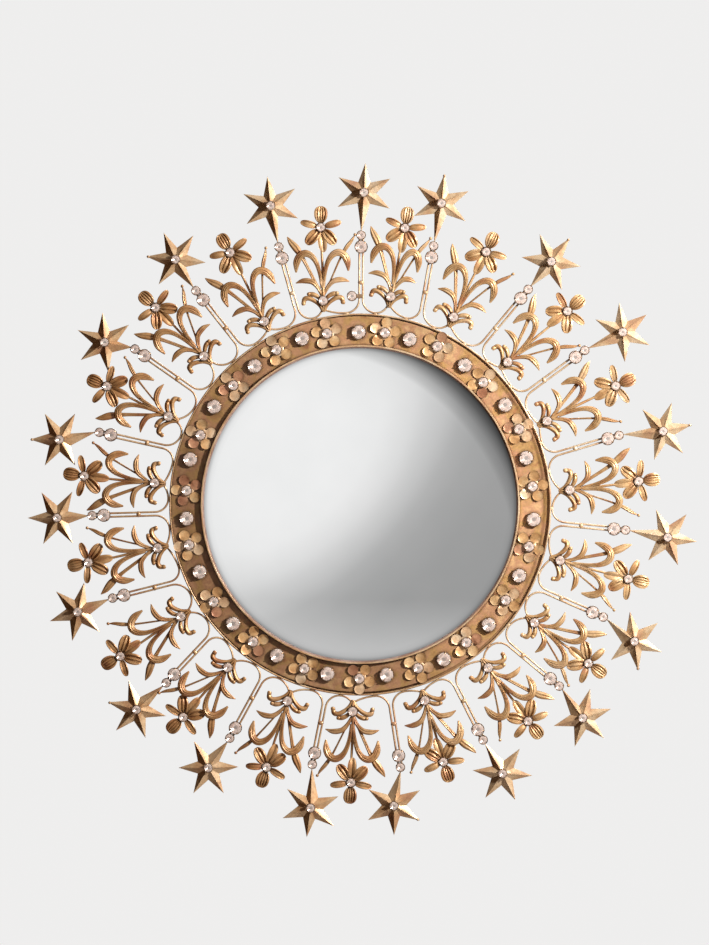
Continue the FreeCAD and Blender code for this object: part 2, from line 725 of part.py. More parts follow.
class Sprig:
    """Where one sprig stands: its foot stone, its lily stone and the direction between them."""

    def __init__(self, foot_bearing, foot_share, lily_bearing, lily_share, left_share, right_share):
        self.foot = spot(foot_bearing, mm("FootReach") * foot_share, deck.value)
        self.lily = spot(lily_bearing, mm("LilyReach") * lily_share, deck.value)
        self.span = (self.lily - self.foot).Length
        self.along = (self.lily - self.foot).normalize()
        self.bearing = bearing_of(self.along)
        self.right = Vector(self.along.y, -self.along.x, 0)
        self.left_share = left_share
        self.right_share = right_share

    def wire_end(self, side):
        """Where the stem wire from this side ends, under the foot."""
        drop = self.along * (mm("FootDrop") - mm("WireLap"))
        end = self.foot - drop + self.right * (side * mm("WireGap") / 2)
        return Vector(end.x, end.y, wire_middle.value)


def bend(start, heading, end):
    """The arc that leaves start along a heading and arrives at end."""
    chord = end - start
    aside = heading - chord * (heading.dot(chord) / chord.dot(chord))
    turn = heading.getAngle(chord)
    middle = start + chord * 0.5 + aside.normalize() * (chord.Length / 2 * math.tan(turn / 2))
    return Part.Arc(start, middle, end)


def stem_wire(ray, side, foot_end):
    """One wire of a stem: down from the stones, spread onto the rim, and out to a sprig's foot."""
    offset = ray.right * (side * mm("StemSpread") / 2)
    top = ray.top + offset
    start = ray.foot + offset
    outward = ray.right * side
    flat_start = Vector(start.x, start.y, 0)
    touch_reach = rim_touch.value
    reach_out = flat_start.dot(outward)
    flare = (flat_start.Length ** 2 - touch_reach ** 2) / (2 * (touch_reach - reach_out))
    centre = flat_start + outward * flare
    touch = centre * (touch_reach / (touch_reach + flare)) + Vector(0, 0, wire_middle.value)
    onward = Vector(touch.y, -touch.x, 0).normalize() * side
    edges = (
        Part.LineSegment(top, start),
        bend(start, ray.along * -1, touch),
        bend(touch, onward, foot_end),
    )
    path = Part.Wire([edge.toShape() for edge in edges])
    ring = Part.Circle(top, ray.along * -1, mm("WireThick") / 2)
    return path.makePipeShell([Part.Wire(ring.toShape())], True, True)


def make_stem_wires(rays, sprigs):
    wires = []
    for index, ray in enumerate(rays):
        wires.append(stem_wire(ray, 1, sprigs[index].wire_end(-1)))
        wires.append(stem_wire(ray, -1, sprigs[index - 1].wire_end(1)))
    shape_node("stem_wires", wires)


def make_stem_knots(rays):
    """A drop of solder round the two wires of each stem."""
    length = mm("KnotLength")
    knots = []
    for ray in rays:
        start = ray.foot + ray.along * (mm("KnotReach") - mm("FlareReach"))
        knot = Part.makeCylinder(mm("KnotThick") / 2, length, start, ray.along)
        for side in (-1, 1):
            bore = start + ray.right * (side * mm("StemSpread") / 2)
            knot = knot.cut(Part.makeCylinder(mm("WireThick") / 2, length, bore, ray.along))
        knots.append(knot)
    shape_node("stem_knots", knots)


def star_shape(ray):
    """An embossed star of ridged rays with a hollow back; its inward ray is the tail to the stem."""
    centre = ray.star
    tail = Vector(ray.small_stone.x, ray.small_stone.y, centre.z)
    low = []
    for index in range(STAR_RAYS):
        turn = ray.star_turn + index * 360 / STAR_RAYS
        is_tail = index == STAR_RAYS // 2
        low.append(tail if is_tail else centre + compass(turn) * mm("StarRay"))
        low.append(centre + compass(turn + 180 / STAR_RAYS) * mm("StarValley"))
    sheet_up = Vector(0, 0, mm("StarSheet"))
    peak = centre + Vector(0, 0, mm("StarRise"))
    faces = []
    for start, end in zip(low, low[1:] + low[:1]):
        faces.append(flat_face(peak, start, end))
        faces.append(flat_face(peak + sheet_up, start + sheet_up, end + sheet_up))
        faces.append(flat_face(start, end, end + sheet_up, start + sheet_up))
    star = Part.Solid(Part.makeShell(faces))
    seat = Part.makeCylinder(mm("StarValley"), mm("StarRise"), star_seat(ray))
    cup = Part.makeCylinder(cup_radius(mm("SmallStone")), mm("StarRise"), ray.small_stone)
    return star.cut([seat, cup])


def flat_face(*corners):
    return Part.Face(Part.makePolygon(list(corners) + [corners[0]]))


def star_seat(ray):
    """The flat at the top of a star, on which its stone's cup stands."""
    return ray.star + Vector(0, 0, mm("StarRise") + mm("StarSheet") - mm("StarSeat"))


def leaf_shape(stations, side, spread, width_share):
    """A ridged leaf with a flat underside, lofted along the middle line of its stations."""
    unit = mm("SprigSpan")
    middles = [Vector(side * spread * u * unit, v * unit, z * unit) for u, v, z, _, _ in stations]
    sections = []
    for index, (_, _, _, width, ridge) in enumerate(stations):
        before = middles[max(index - 1, 0)]
        after = middles[min(index + 1, len(middles) - 1)]
        heading = after - before
        across = Vector(-heading.y, heading.x, 0).normalize() * (width * width_share * unit / 2)
        middle = middles[index]
        top = middle + Vector(0, 0, ridge * unit)
        sections.append(Part.makePolygon([middle - across, top, middle + across, middle - across]))
    return Part.makeLoft(sections, True, True)


def petal_face(bearing, length, width):
    """A pointed petal from the origin, between two arcs."""
    tip = compass(bearing) * length
    across = compass(bearing + 90) * (width / 2)
    edges = (
        Part.Arc(Vector(), tip * 0.5 + across, tip),
        Part.Arc(tip, tip * 0.5 - across, Vector()),
    )
    return Part.Face(Part.Wire([edge.toShape() for edge in edges]))


def arched_sheet(flat_radius, radius, arch, sheet_thick, drop):
    """A round sheet, flat in the middle, that rises to an arch and comes down by drop at its edge."""
    crest = (flat_radius + radius) / 2
    up = Vector(0, 0, sheet_thick)
    inner = Vector(flat_radius, 0, 0)
    top = Vector(crest, 0, arch)
    outer = Vector(radius, 0, arch - drop)
    edges = (
        Part.LineSegment(Vector(), inner),
        Part.Arc(inner, top, outer),
        Part.LineSegment(outer, outer + up),
        Part.Arc(outer + up, top + up, inner + up),
        Part.LineSegment(inner + up, up),
        Part.LineSegment(up, Vector()),
    )
    profile = Part.Face(Part.Wire([edge.toShape() for edge in edges]))
    return profile.revolve(Vector(), Vector(0, 0, 1), 360)


def lily_shape():
    """A lily of six arched petals round a flat middle."""
    radius = mm("LilyRadius")
    middle = radius * LILY_CENTRE_SHARE
    depth = mm("LilyArch") + mm("LilySheet")
    petals = []
    for bearing, length, width in LILY_PETAL_SHARES:
        face = petal_face(bearing, length * radius, width * radius)
        petals.append(face.extrude(Vector(0, 0, depth)))
    flower = Part.makeCylinder(middle, depth).fuse(petals)
    arched = arched_sheet(middle, radius, mm("LilyArch"), mm("LilySheet"), mm("LilyArch") * LILY_DROP_SHARE)
    return flower.common(arched)


def make_rosettes():
    petal_reach = mm("RosetteRadius") - mm("PetalRadius")
    middle = cup_radius(mm("RosetteStone"))
    depth = mm("RosetteRise") + mm("RosetteSheet")
    petals = []
    for index in range(ROSETTE_PETALS):
        place = compass(index * 360 / ROSETTE_PETALS) * petal_reach
        petals.append(Part.makeCylinder(mm("PetalRadius"), depth, place))
    flower = Part.makeCylinder(middle, depth).fuse(petals)
    rise = mm("RosetteRise")
    dish = arched_sheet(middle, mm("RosetteRadius"), rise * ROSETTE_CREST_SHARE, mm("RosetteSheet"),
                        rise * -ROSETTE_EDGE_SHARE)
    rosette = flower.common(dish)
    places = []
    for bearing, share in ROSETTE_SHARES:
        places.append((spot(bearing, mm("BandReach") * share, band_front.value), bearing))
    shape_node("band_rosettes", shapes_at(rosette, places))


def sprig_shape(sprig, lily):
    """One sprig, drawn with its foot stone at the origin and its stalk along y, then set down."""
    thick = mm("BossThick")
    foot_half = mm("FootWidth") / 2
    stalk_radius = mm("StalkThick") / 2
    cup = cup_radius(mm("SmallStone"))
    stalk_length = sprig.span - cup - mm("StalkThick") / 2
    foot_end = foot_half * FOOT_END_SHARE
    drop = Vector(0, -mm("FootDrop"), 0)
    foot = flat_face(Vector(-foot_half, 0, 0), drop - Vector(foot_end, 0, 0),
                     drop + Vector(foot_end, 0, 0), Vector(foot_half, 0, 0)).extrude(Vector(0, 0, thick))
    boss = Part.makeCylinder(mm("BossRadius"), thick)
    stalk = Part.makeCone(stalk_radius, stalk_radius / 2, stalk_length, Vector(0, 0, stalk_radius / 2),
                          Vector(0, 1, 0))
    under = Part.makeBox(foot_half * 2, sprig.span, stalk_radius, Vector(-foot_half, 0, -stalk_radius))
    pieces = [foot, stalk.cut(under)]
    for side, spread in ((-1, sprig.left_share), (1, sprig.right_share)):
        for index, stations in enumerate(LEAF_SHARES):
            narrow = side > 0 and index == TALL_LEAF
            width_share = RIGHT_TALL_SHARE if narrow else 1
            pieces.append(leaf_shape(stations, side, spread, width_share))
    seat = Part.makeCylinder(cup_radius(mm("FootStone")), mm("SprigSpan"), Vector(0, 0, thick))
    plant = boss.fuse(pieces).cut(seat)
    plant = plant.fuse(moved(lily, Vector(0, sprig.span, 0)))
    return moved(plant, sprig.foot, sprig.bearing)


def make_stones(rays, sprigs):
    """Every stone and the cup that holds it, in groups by where they stand."""
    on_band = []
    for bearing, share in BAND_STONE_SHARES:
        on_band.append((spot(bearing, mm("BandReach") * share, band_front.value), bearing))
    on_rosettes = []
    rosette_top = band_front.value + mm("RosetteSheet")
    for bearing, share in ROSETTE_SHARES:
        on_rosettes.append((spot(bearing, mm("BandReach") * share, rosette_top), bearing))
    shape_node("band_cups", shapes_at(cup_shape(mm("BandStone")), on_band)
               + shapes_at(cup_shape(mm("RosetteStone")), on_rosettes))
    shape_node("band_stones", shapes_at(stone_shape(mm("BandStone")), on_band))
    shape_node("rosette_stones", shapes_at(stone_shape(mm("RosetteStone")), on_rosettes))

    large = [(ray.large_stone, ray.bearing) for ray in rays]
    small = [(ray.small_stone, ray.bearing) for ray in rays]
    shape_node("stem_cups", shapes_at(cup_shape(mm("StemStone")), large)
               + shapes_at(cup_shape(mm("SmallStone")), small))
    shape_node("stem_stones", shapes_at(stone_shape(mm("StemStone")), large)
               + shapes_at(stone_shape(mm("SmallStone")), small))

    on_stars = [(star_seat(ray), ray.star_turn) for ray in rays]
    shape_node("star_cups", shapes_at(cup_shape(mm("SmallStone")), on_stars))
    shape_node("star_stones", shapes_at(stone_shape(mm("SmallStone")), on_stars))

    boss = Vector(0, 0, mm("BossThick"))
    lily_seat = Vector(0, 0, mm("LilySheet"))
    on_feet = [(sprig.foot + boss, sprig.bearing) for sprig in sprigs]
    on_lilies = [(sprig.lily + lily_seat, sprig.bearing) for sprig in sprigs]
    odd_place, odd_bearing, odd_cup = odd_stone(rays[0])
    shape_node("sprig_cups", shapes_at(cup_shape(mm("FootStone")), on_feet)
               + shapes_at(cup_shape(mm("SmallStone")), on_lilies) + [odd_cup])
    shape_node("sprig_stones", shapes_at(stone_shape(mm("FootStone")), on_feet + [(odd_place, odd_bearing)])
               + shapes_at(stone_shape(mm("SmallStone")), on_lilies))


def odd_stone(ray):
    """The one stone beside the top stem: its place, its bearing and its cup on a tab from the stem."""
    bearing, share = ODD_STONE_SHARES
    base = spot(bearing, mm("FootReach") * share, deck.value)
    place = base + Vector(0, 0, mm("TabThick"))
    from_stem = base - ray.foot
    aside = from_stem.dot(ray.right)
    length = abs(aside) + mm("StemSpread") / 2
    tab = Part.makeBox(length, mm("TabWidth"), mm("TabThick"), Vector(0, -mm("TabWidth") / 2, 0))
    disc = Part.makeCylinder(cup_radius(mm("FootStone")), mm("TabThick"))
    holder = tab.fuse([disc, moved(cup_shape(mm("FootStone")), Vector(0, 0, mm("TabThick")))])
    return place, ray.bearing, moved(holder, base, ray.bearing)


def make_stars_and_sprigs(rays, sprigs):
    for index, ray in enumerate(rays, start=1):
        shape_node(f"star_{index:02d}", star_shape(ray))
    lily = lily_shape()
    for index, sprig in enumerate(sprigs, start=1):
        shape_node(f"lily_sprig_{index:02d}", sprig_shape(sprig, lily))


def check_and_write():
    """Stops on a failed object or a bad shape, then writes one file for each sub-part."""
    doc.recompute()
    for thing in doc.Objects:
        if "Invalid" in thing.State or "Error" in thing.State:
            raise RuntimeError(f"{thing.Label} failed: {thing.State}")
    for thing in nodes:
        if thing.Shape.isNull() or not thing.Shape.isValid():
            raise RuntimeError(f"{thing.Label} has a bad shape")
    os.makedirs("parts", exist_ok=True)
    for thing in nodes:
        thing.Shape.exportStep(f"parts/{thing.Label}.step")
        print(thing.Label, len(thing.Shape.Solids), "solids", round(thing.Shape.Volume, 1), "mm3")


def main():
    rays = [Ray(*line) for line in RAY_SHARES]
    sprigs = [Sprig(*line) for line in SPRIG_SHARES]
    make_back_board()
    make_back_plate()
    make_glass_packing()
    make_mirror_glass()
    make_bezel()
    make_band_plate()
    make_rim_wire()
    make_hanger_plate()
    make_hanging_ring()
    make_wood_screws()
    make_stem_wires(rays, sprigs)
    make_stem_knots(rays)
    make_rosettes()
    make_stones(rays, sprigs)
    make_stars_and_sprigs(rays, sprigs)
    check_and_write()


main()
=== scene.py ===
import math
import random

import bmesh
import bpy
from mathutils import Matrix, Vector, noise


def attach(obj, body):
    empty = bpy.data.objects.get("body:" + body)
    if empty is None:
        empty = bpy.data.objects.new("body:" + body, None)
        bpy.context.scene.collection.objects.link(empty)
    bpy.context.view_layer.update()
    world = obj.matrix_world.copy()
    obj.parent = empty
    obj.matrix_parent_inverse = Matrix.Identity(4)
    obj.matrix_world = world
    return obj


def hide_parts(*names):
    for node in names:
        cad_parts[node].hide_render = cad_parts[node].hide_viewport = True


# Round gilt metal mirror with stars, lily sprigs, rosettes and cut stones, dressed on its solids.
#
# Every piece is drawn face on, in millimetres: x to the right, y up and z out of the wall, with the
# centre of the glass at x = y = 0. A bearing is an angle in degrees, clockwise from the top, and a
# reach is a distance from the centre of the glass.

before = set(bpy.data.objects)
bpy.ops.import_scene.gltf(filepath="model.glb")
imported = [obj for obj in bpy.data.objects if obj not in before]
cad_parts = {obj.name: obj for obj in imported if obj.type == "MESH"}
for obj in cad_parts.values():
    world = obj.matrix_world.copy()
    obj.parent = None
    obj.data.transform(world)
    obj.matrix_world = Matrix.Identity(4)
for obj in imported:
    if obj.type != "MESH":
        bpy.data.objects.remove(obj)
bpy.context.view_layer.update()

MM = 0.001
PHOTO_HEIGHT = 945
PIXEL_SIZE = 0.75

BOARD_THICK = 10
PLATE_TOP = BOARD_THICK + 0.8
WIRE_RADIUS = 0.75
WIRE_MIDDLE = PLATE_TOP + WIRE_RADIUS
DECK = WIRE_MIDDLE + WIRE_RADIUS
GLASS_RADIUS = 118.3
GLASS_REAR = PLATE_TOP + 1.3
GLASS_THICK = 3
GLASS_EDGE = GLASS_REAR + GLASS_THICK
GLASS_RISE = 8
LIP_INSIDE = 117
LIP_REAR = GLASS_EDGE + 0.3
LIP_FRONT = LIP_REAR + 1
BEZEL_INSIDE = GLASS_RADIUS + 0.3
BEZEL_OUTSIDE = BEZEL_INSIDE + 1
BAND_FRONT = PLATE_TOP + 2.3
BAND_RADIUS = 140.6
BAND_ASIDE = 0.95
BAND_ABOVE = 0.3
BAND_SHEET = 0.8
BAND_REACH = 130.5
EDGE_BEND = 0.8
RIM_RADIUS = 142.6
RIM_LIFT = 0.9
RIM_TOUCH = RIM_RADIUS + WIRE_RADIUS * 2
FLARE_REACH = 153.8
KNOT_REACH = 165
KNOT_LENGTH = 3
STEM_SPREAD = 2.7
STEM_TAIL = 2
STEM_STONE_REACH = 192.4
STONE_STEP = 8.8
STAR_REACH = 230.2
STAR_RAY = 22.6
STAR_VALLEY = 9.2
STAR_RISE = 5
STAR_SHEET = 0.9
STAR_SEAT = 0.7
STAR_RAYS = 6
FOOT_REACH = 156.4
LILY_REACH = 209.4
SPRIG_SPAN = 53
BOSS_RADIUS = 4
BOSS_THICK = 1.2
FOOT_DROP = 8.5
FOOT_WIDTH = 5
WIRE_LAP = 1.5
WIRE_GAP = 2.4
STALK_RADIUS = 1.3
LILY_RADIUS = 19.5
LILY_SHEET = 0.9
LILY_ARCH = 2.6
ROSETTE_RADIUS = 11.8
PETAL_RADIUS = 3.9
ROSETTE_SHEET = 0.7
ROSETTE_PETALS = 5
TAB_WIDTH = 3
TAB_THICK = 0.9
BAND_STONE = 10
ROSETTE_STONE = 7
STEM_STONE = 8.8
SMALL_STONE = 6
FOOT_STONE = 6.5
CUP_ROOM = 0.6
CLAWS = 4

# As shares of a stone's diameter: the heights of its lowest point, girdle, crown and table above the
# foot of its cup, the radii of its flat ends and upper facets, and the width of a claw.
LEVEL_SHARES = (0.06, 0.26, 0.32, 0.48)
CULET_SHARE = 0.16
TABLE_SHARE = 0.28
STAR_FACET_SHARE = 0.385
CLAW_SHARE = 0.14

# One line for each star: the star's bearing and reach, its turn on the stem in degrees, the bearing and
# reach of its stem's lower stone, and the bearing of the stem's foot.
RAY_SHARES = (
    (0.7, 1.015, 1, 0.2, 1.004, 0.2),
    (15.1, 1.015, -10, 16.1, 1.002, 17.6),
    (38.2, 1.006, 0, 37.9, 1.018, 37.4),
    (56.7, 1.022, -2, 55.6, 1.016, 56.1),
    (76.4, 1.014, 0, 75.1, 0.998, 75.5),
    (96.1, 1.006, 3, 95.5, 0.993, 95.5),
    (116.5, 0.997, -5, 114.9, 0.998, 115.2),
    (133.8, 1.003, 0, 132.5, 1.004, 133.2),
    (152.1, 0.990, 3, 152.4, 0.989, 152.2),
    (173.6, 0.986, 7, 171.3, 0.990, 171.3),
    (189.3, 1.000, -1, 190.4, 0.984, 190.2),
    (210.0, 0.989, 0, 209.2, 0.997, 209.3),
    (227.5, 0.987, -4, 227.6, 0.981, 228.6),
    (249.2, 0.983, 3, 249.0, 0.986, 247.4),
    (267.5, 0.987, 1, 267.6, 1.000, 267.4),
    (282.2, 1.001, -12, 285.6, 1.009, 286.4),
    (302.4, 0.985, -8, 304.6, 1.021, 304.5),
    (323.0, 0.998, 13, 322.5, 1.005, 322.7),
    (343.3, 1.015, 11, 342.4, 1.007, 341.9),
)

# One line for each sprig: bearing and reach of its foot stone, then of its lily stone.
SPRIG_SHARES = (
    (8.4, 1.007, 9.2, 1.003),
    (26.5, 1.004, 26.5, 1.011),
    (46.0, 0.984, 47.0, 1.015),
    (65.9, 0.982, 65.1, 1.009),
    (86.0, 1.007, 85.2, 1.001),
    (105.6, 0.995, 105.5, 0.996),
    (124.1, 1.009, 124.8, 0.995),
    (141.9, 0.994, 142.2, 0.981),
    (161.7, 0.989, 162.1, 0.968),
    (182.1, 0.992, 181.9, 0.996),
    (200.3, 1.004, 199.6, 0.998),
    (219.1, 1.006, 219.8, 0.990),
    (238.0, 1.013, 237.7, 1.016),
    (257.9, 0.993, 258.0, 0.995),
    (276.0, 0.991, 275.9, 0.993),
    (294.7, 1.011, 295.0, 1.001),
    (313.5, 1.033, 313.9, 1.017),
    (332.4, 0.991, 332.7, 1.015),
    (349.7, 0.993, 351.9, 1.002),
)
# Sprigs whose right-hand leaves are bent in, and the share of their spread that is left.
BENT_IN = {1: 0.8, 7: 0.88}

# Rosettes and single stones on the band: bearing, and reach as a share of BAND_REACH.
ROSETTE_SHARES = (
    (8.2, 0.996), (26.0, 1.01), (45.2, 0.996), (64.6, 1.01), (84.0, 0.996), (104.0, 1.0), (123.3, 1.0),
    (142.4, 1.0), (160.5, 0.996), (180.3, 1.0), (198.8, 0.996), (218.0, 1.0), (236.4, 1.01),
    (256.7, 1.01), (274.6, 1.0), (293.5, 1.0), (313.2, 1.0), (331.6, 1.01), (349.0, 1.0),
)
BAND_STONE_SHARES = (
    (359.5, 0.99), (16.7, 0.99), (36.9, 1.0), (55.5, 1.01), (74.3, 0.99), (94.9, 1.0), (114.1, 1.0),
    (133.1, 1.01), (151.6, 1.01), (171.2, 0.99), (191.0, 0.99), (208.9, 0.99), (226.9, 1.0),
    (247.3, 1.0), (265.4, 1.0), (284.9, 1.01), (303.8, 1.01), (322.7, 1.0), (340.7, 1.01),
)
ODD_STONE_SHARES = (357.7, 1.0)

# The leaves of one side of a sprig: how far sideways, how far out from the foot stone and how high the
# leaf's middle runs, then its width and its ridge, as shares of SPRIG_SPAN.
LEAF_SHARES = (
    ((0.015, -0.14, 0.0, 0.036, 0.018), (0.055, -0.06, 0.006, 0.050, 0.022),
     (0.12, 0.0, 0.012, 0.060, 0.026), (0.20, 0.04, 0.018, 0.068, 0.028),
     (0.26, 0.03, 0.012, 0.072, 0.028), (0.28, -0.03, 0.006, 0.056, 0.018)),
    ((0.02, 0.01, 0.004, 0.044, 0.020), (0.09, 0.07, 0.012, 0.062, 0.026),
     (0.15, 0.095, 0.014, 0.068, 0.028), (0.20, 0.10, 0.008, 0.056, 0.020)),
    ((0.01, 0.08, 0.006, 0.040, 0.020), (0.07, 0.19, 0.016, 0.056, 0.024),
     (0.15, 0.27, 0.030, 0.074, 0.028), (0.27, 0.29, 0.026, 0.074, 0.024),
     (0.38, 0.26, 0.012, 0.012, 0.006)),
    ((0.01, 0.06, 0.004, 0.044, 0.020), (0.14, 0.34, 0.006, 0.046, 0.020),
     (0.26, 0.59, 0.010, 0.056, 0.020), (0.35, 0.74, 0.018, 0.104, 0.026),
     (0.43, 0.84, 0.014, 0.080, 0.022), (0.48, 0.92, 0.006, 0.012, 0.006)),
    ((0.01, 0.18, 0.010, 0.044, 0.022), (0.035, 0.38, 0.030, 0.054, 0.026),
     (0.08, 0.54, 0.050, 0.068, 0.030), (0.15, 0.64, 0.060, 0.088, 0.032),
     (0.235, 0.675, 0.060, 0.102, 0.034), (0.315, 0.635, 0.050, 0.104, 0.032),
     (0.36, 0.54, 0.032, 0.096, 0.026), (0.37, 0.41, 0.012, 0.024, 0.010)),
)
LEAF_RIBS = (1, 1, 2, 2, 4)
LEAF_COLUMNS = 16
LEAF_STEPS = 5
LEAF_THICK = 0.55
EDGE_THICK = 0.28
RIB_DEPTH = 0.42

# The first two leaves end in a bud. The tall leaf on the right is narrower and ends in a bead.
BUD_RADII = {0: 1.75, 1: 1.55}
TALL_LEAF = 3
RIGHT_TALL_SHARE = 0.55
BEAD_RADIUS = 1.2

# The strands of a sprig's foot, from below its stone down to the rim, drawn as the leaves are.
MIDDLE_STRAND_SHARES = ((0.0, -0.158, 0.0, 0.022, 0.020), (0.0, -0.10, 0.006, 0.040, 0.030),
                        (0.0, -0.03, 0.012, 0.046, 0.032))
SIDE_STRAND_SHARES = ((0.010, -0.158, 0.0, 0.020, 0.016), (0.026, -0.10, 0.002, 0.034, 0.024),
                      (0.044, -0.03, 0.004, 0.040, 0.026))

# Which stars have a drop of solder left on a tip, and on which ray, counted clockwise from the outer one.
STAR_BEADS = {2: 0, 3: 0, 5: 0, 7: 1, 10: 5, 13: 1, 16: 0, 18: 5}

# The petals of a lily: bearing from the stalk's direction, length and width as shares of LILY_RADIUS,
# the number of grooves, their depth and how far the edges stand up, in millimetres.
LILY_PETAL_SHARES = (
    (0, 0.82, 0.52, 5, 0.75, 0.5),
    (78, 0.81, 0.28, 1, 0.4, 1.0),
    (137, 0.85, 0.44, 3, 0.7, 0.9),
    (180, 0.96, 0.35, 2, 0.6, 0.4),
    (223, 0.85, 0.44, 3, 0.7, 0.9),
    (282, 0.81, 0.28, 1, 0.4, 1.0),
)

# What lights the room evenly, and what is seen behind the mirror.
ROOM_LIGHT = (0.082, 0.043, 0.019, 1)
BACKDROP = (0.86, 0.855, 0.85, 1)

hand = random.Random(19)


def linear(colour):
    """The shader's value of a colour written from 0 to 255."""
    shares = [part / 255 for part in colour]
    parts = [share / 12.92 if share <= 0.04045 else ((share + 0.055) / 1.055) ** 2.4 for share in shares]
    return (*parts, 1)


def up(height):
    return Vector((0, 0, height))


def compass(bearing):
    """The direction of a bearing, clockwise from the top."""
    angle = math.radians(bearing)
    return Vector((math.sin(angle), math.cos(angle), 0))


def spot(bearing, reach, height):
    return compass(bearing) * reach + up(height)


def bearing_of(direction):
    return math.degrees(math.atan2(direction.x, direction.y))


def set_down(place, bearing):
    """Turns a drawing clockwise by a bearing and puts it at a place."""
    return Matrix.Translation(place) @ Matrix.Rotation(-math.radians(bearing), 4, "Z")


def even(low, high, share):
    return low + (high - low) * share


def eased(share):
    """A share from 0 to 1 that starts and ends gently."""
    share = min(max(share, 0), 1)
    return share * share * (3 - 2 * share)


class Piece:
    """Points and faces of one piece, gathered face on in millimetres."""

    def __init__(self, name, shape=((), ())):
        self.name = name
        self.points = []
        self.faces = []
        self.add(shape)

    def add(self, shape, place=None):
        points, faces = shape
        start = len(self.points)
        self.points += [place @ point if place else point for point in points]
        self.faces += [tuple(start + corner for corner in face) for face in faces]

    def finish(self, material, slot, node=None, sharp=None):
        """Makes the object in the row frame, in place of a node; edges over sharp degrees stay crisp."""
        mesh = bpy.data.meshes.new(self.name)
        mesh.from_pydata([(x * MM, -z * MM, y * MM) for x, y, z in self.points], [], self.faces)
        work = bmesh.new()
        work.from_mesh(mesh)
        bmesh.ops.remove_doubles(work, verts=work.verts, dist=MM / 1000)
        bmesh.ops.recalc_face_normals(work, faces=work.faces)
        work.to_mesh(mesh)
        work.free()
        if sharp:
            mesh.shade_smooth()
            mesh.set_sharp_from_angle(angle=math.radians(sharp))
        mesh.materials.append(material)
        thing = bpy.data.objects.new(self.name, mesh)
        bpy.context.scene.collection.objects.link(thing)
        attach(thing, "frame")
        if node:
            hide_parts(node)


def skin(rows, joined=False):
    """A skin over rows of points, each row a closed loop; its ends are capped, or joined up."""
    count = len(rows[0])
    points = [point for row in rows for point in row]
    faces = []
    for row in range(len(rows) if joined else len(rows) - 1):
        here = row * count
        onward = (here + count) % len(points)
        for column in range(count):
            beside = (column + 1) % count
            faces.append((here + column, here + beside, onward + beside, onward + column))
    if not joined:
        faces += [tuple(reversed(range(count))), tuple(range(len(points) - count, len(points)))]
    return points, faces


def turned(profile, segments):
    """A closed profile of (distance from the axis, height), turned round the drawing's z axis."""
    rows = []
    for segment in range(segments):
        bearing = segment * 360 / segments
        rows.append([spot(bearing, reach, height) for reach, height in profile])
    return skin(rows, joined=True)


def disc(radius, thick, segments):
    return turned([(0, 0), (radius, 0), (radius, thick), (0, thick)], segments)


def tube(path, radii, joined=False):
    """A round bar along a path that keeps its height, with a radius at each point."""
    sides = 10
    around = [path[-1], *path, path[0]] if joined else [path[0], *path, path[-1]]
    rows = []
    for index, point in enumerate(path):
        heading = around[index + 2] - around[index]
        aside = heading.cross(up(1)).normalized()
        above = aside.cross(heading).normalized()
        angles = [side * math.tau / sides for side in range(sides)]
        rows.append([point + (aside * math.cos(angle) + above * math.sin(angle)) * radii[index]
                     for angle in angles])
    return skin(rows, joined)


def wire(path, waver, scale, joined=False):
    """A hand-drawn wire whose thickness wavers by a share of its radius."""
    radii = [WIRE_RADIUS * (1 + waver * noise.noise(point * scale)) for point in path]
    return tube(path, radii, joined)


def drop(centre, half_sizes, bearing=0, sides=12):
    """A drop of solder: a rounded lump of three half sizes, a little uneven."""
    across, along, high = half_sizes
    layers = sides // 2
    rows = []
    for layer in range(1, layers):
        tilt = math.pi * layer / layers
        row = []
        for side in range(sides):
            angle = side * math.tau / sides
            point = Vector((math.sin(tilt) * math.cos(angle) * across, math.cos(tilt) * along,
                            math.sin(tilt) * math.sin(angle) * high))
            row.append(point * (1 + 0.12 * noise.noise((point + centre) * 0.9)))
        rows.append(row)
    points, faces = skin(rows)
    turn = set_down(centre, bearing)
    return [turn @ point for point in points], faces


def smooth_line(stations, steps):
    """The stations with more between them, on a smooth curve through them."""
    padded = [stations[0], *stations, stations[-1]]
    line = []
    for index in range(len(stations) - 1):
        for step in range(steps):
            share = step / steps
            line.append([
                (2 * b + (c - a) * share + (2 * a - 5 * b + 4 * c - d) * share ** 2
                 + (3 * b - a - 3 * c + d) * share ** 3) / 2
                for a, b, c, d in zip(*padded[index:index + 4])
            ])
    return [*line, stations[-1]]


# Materials

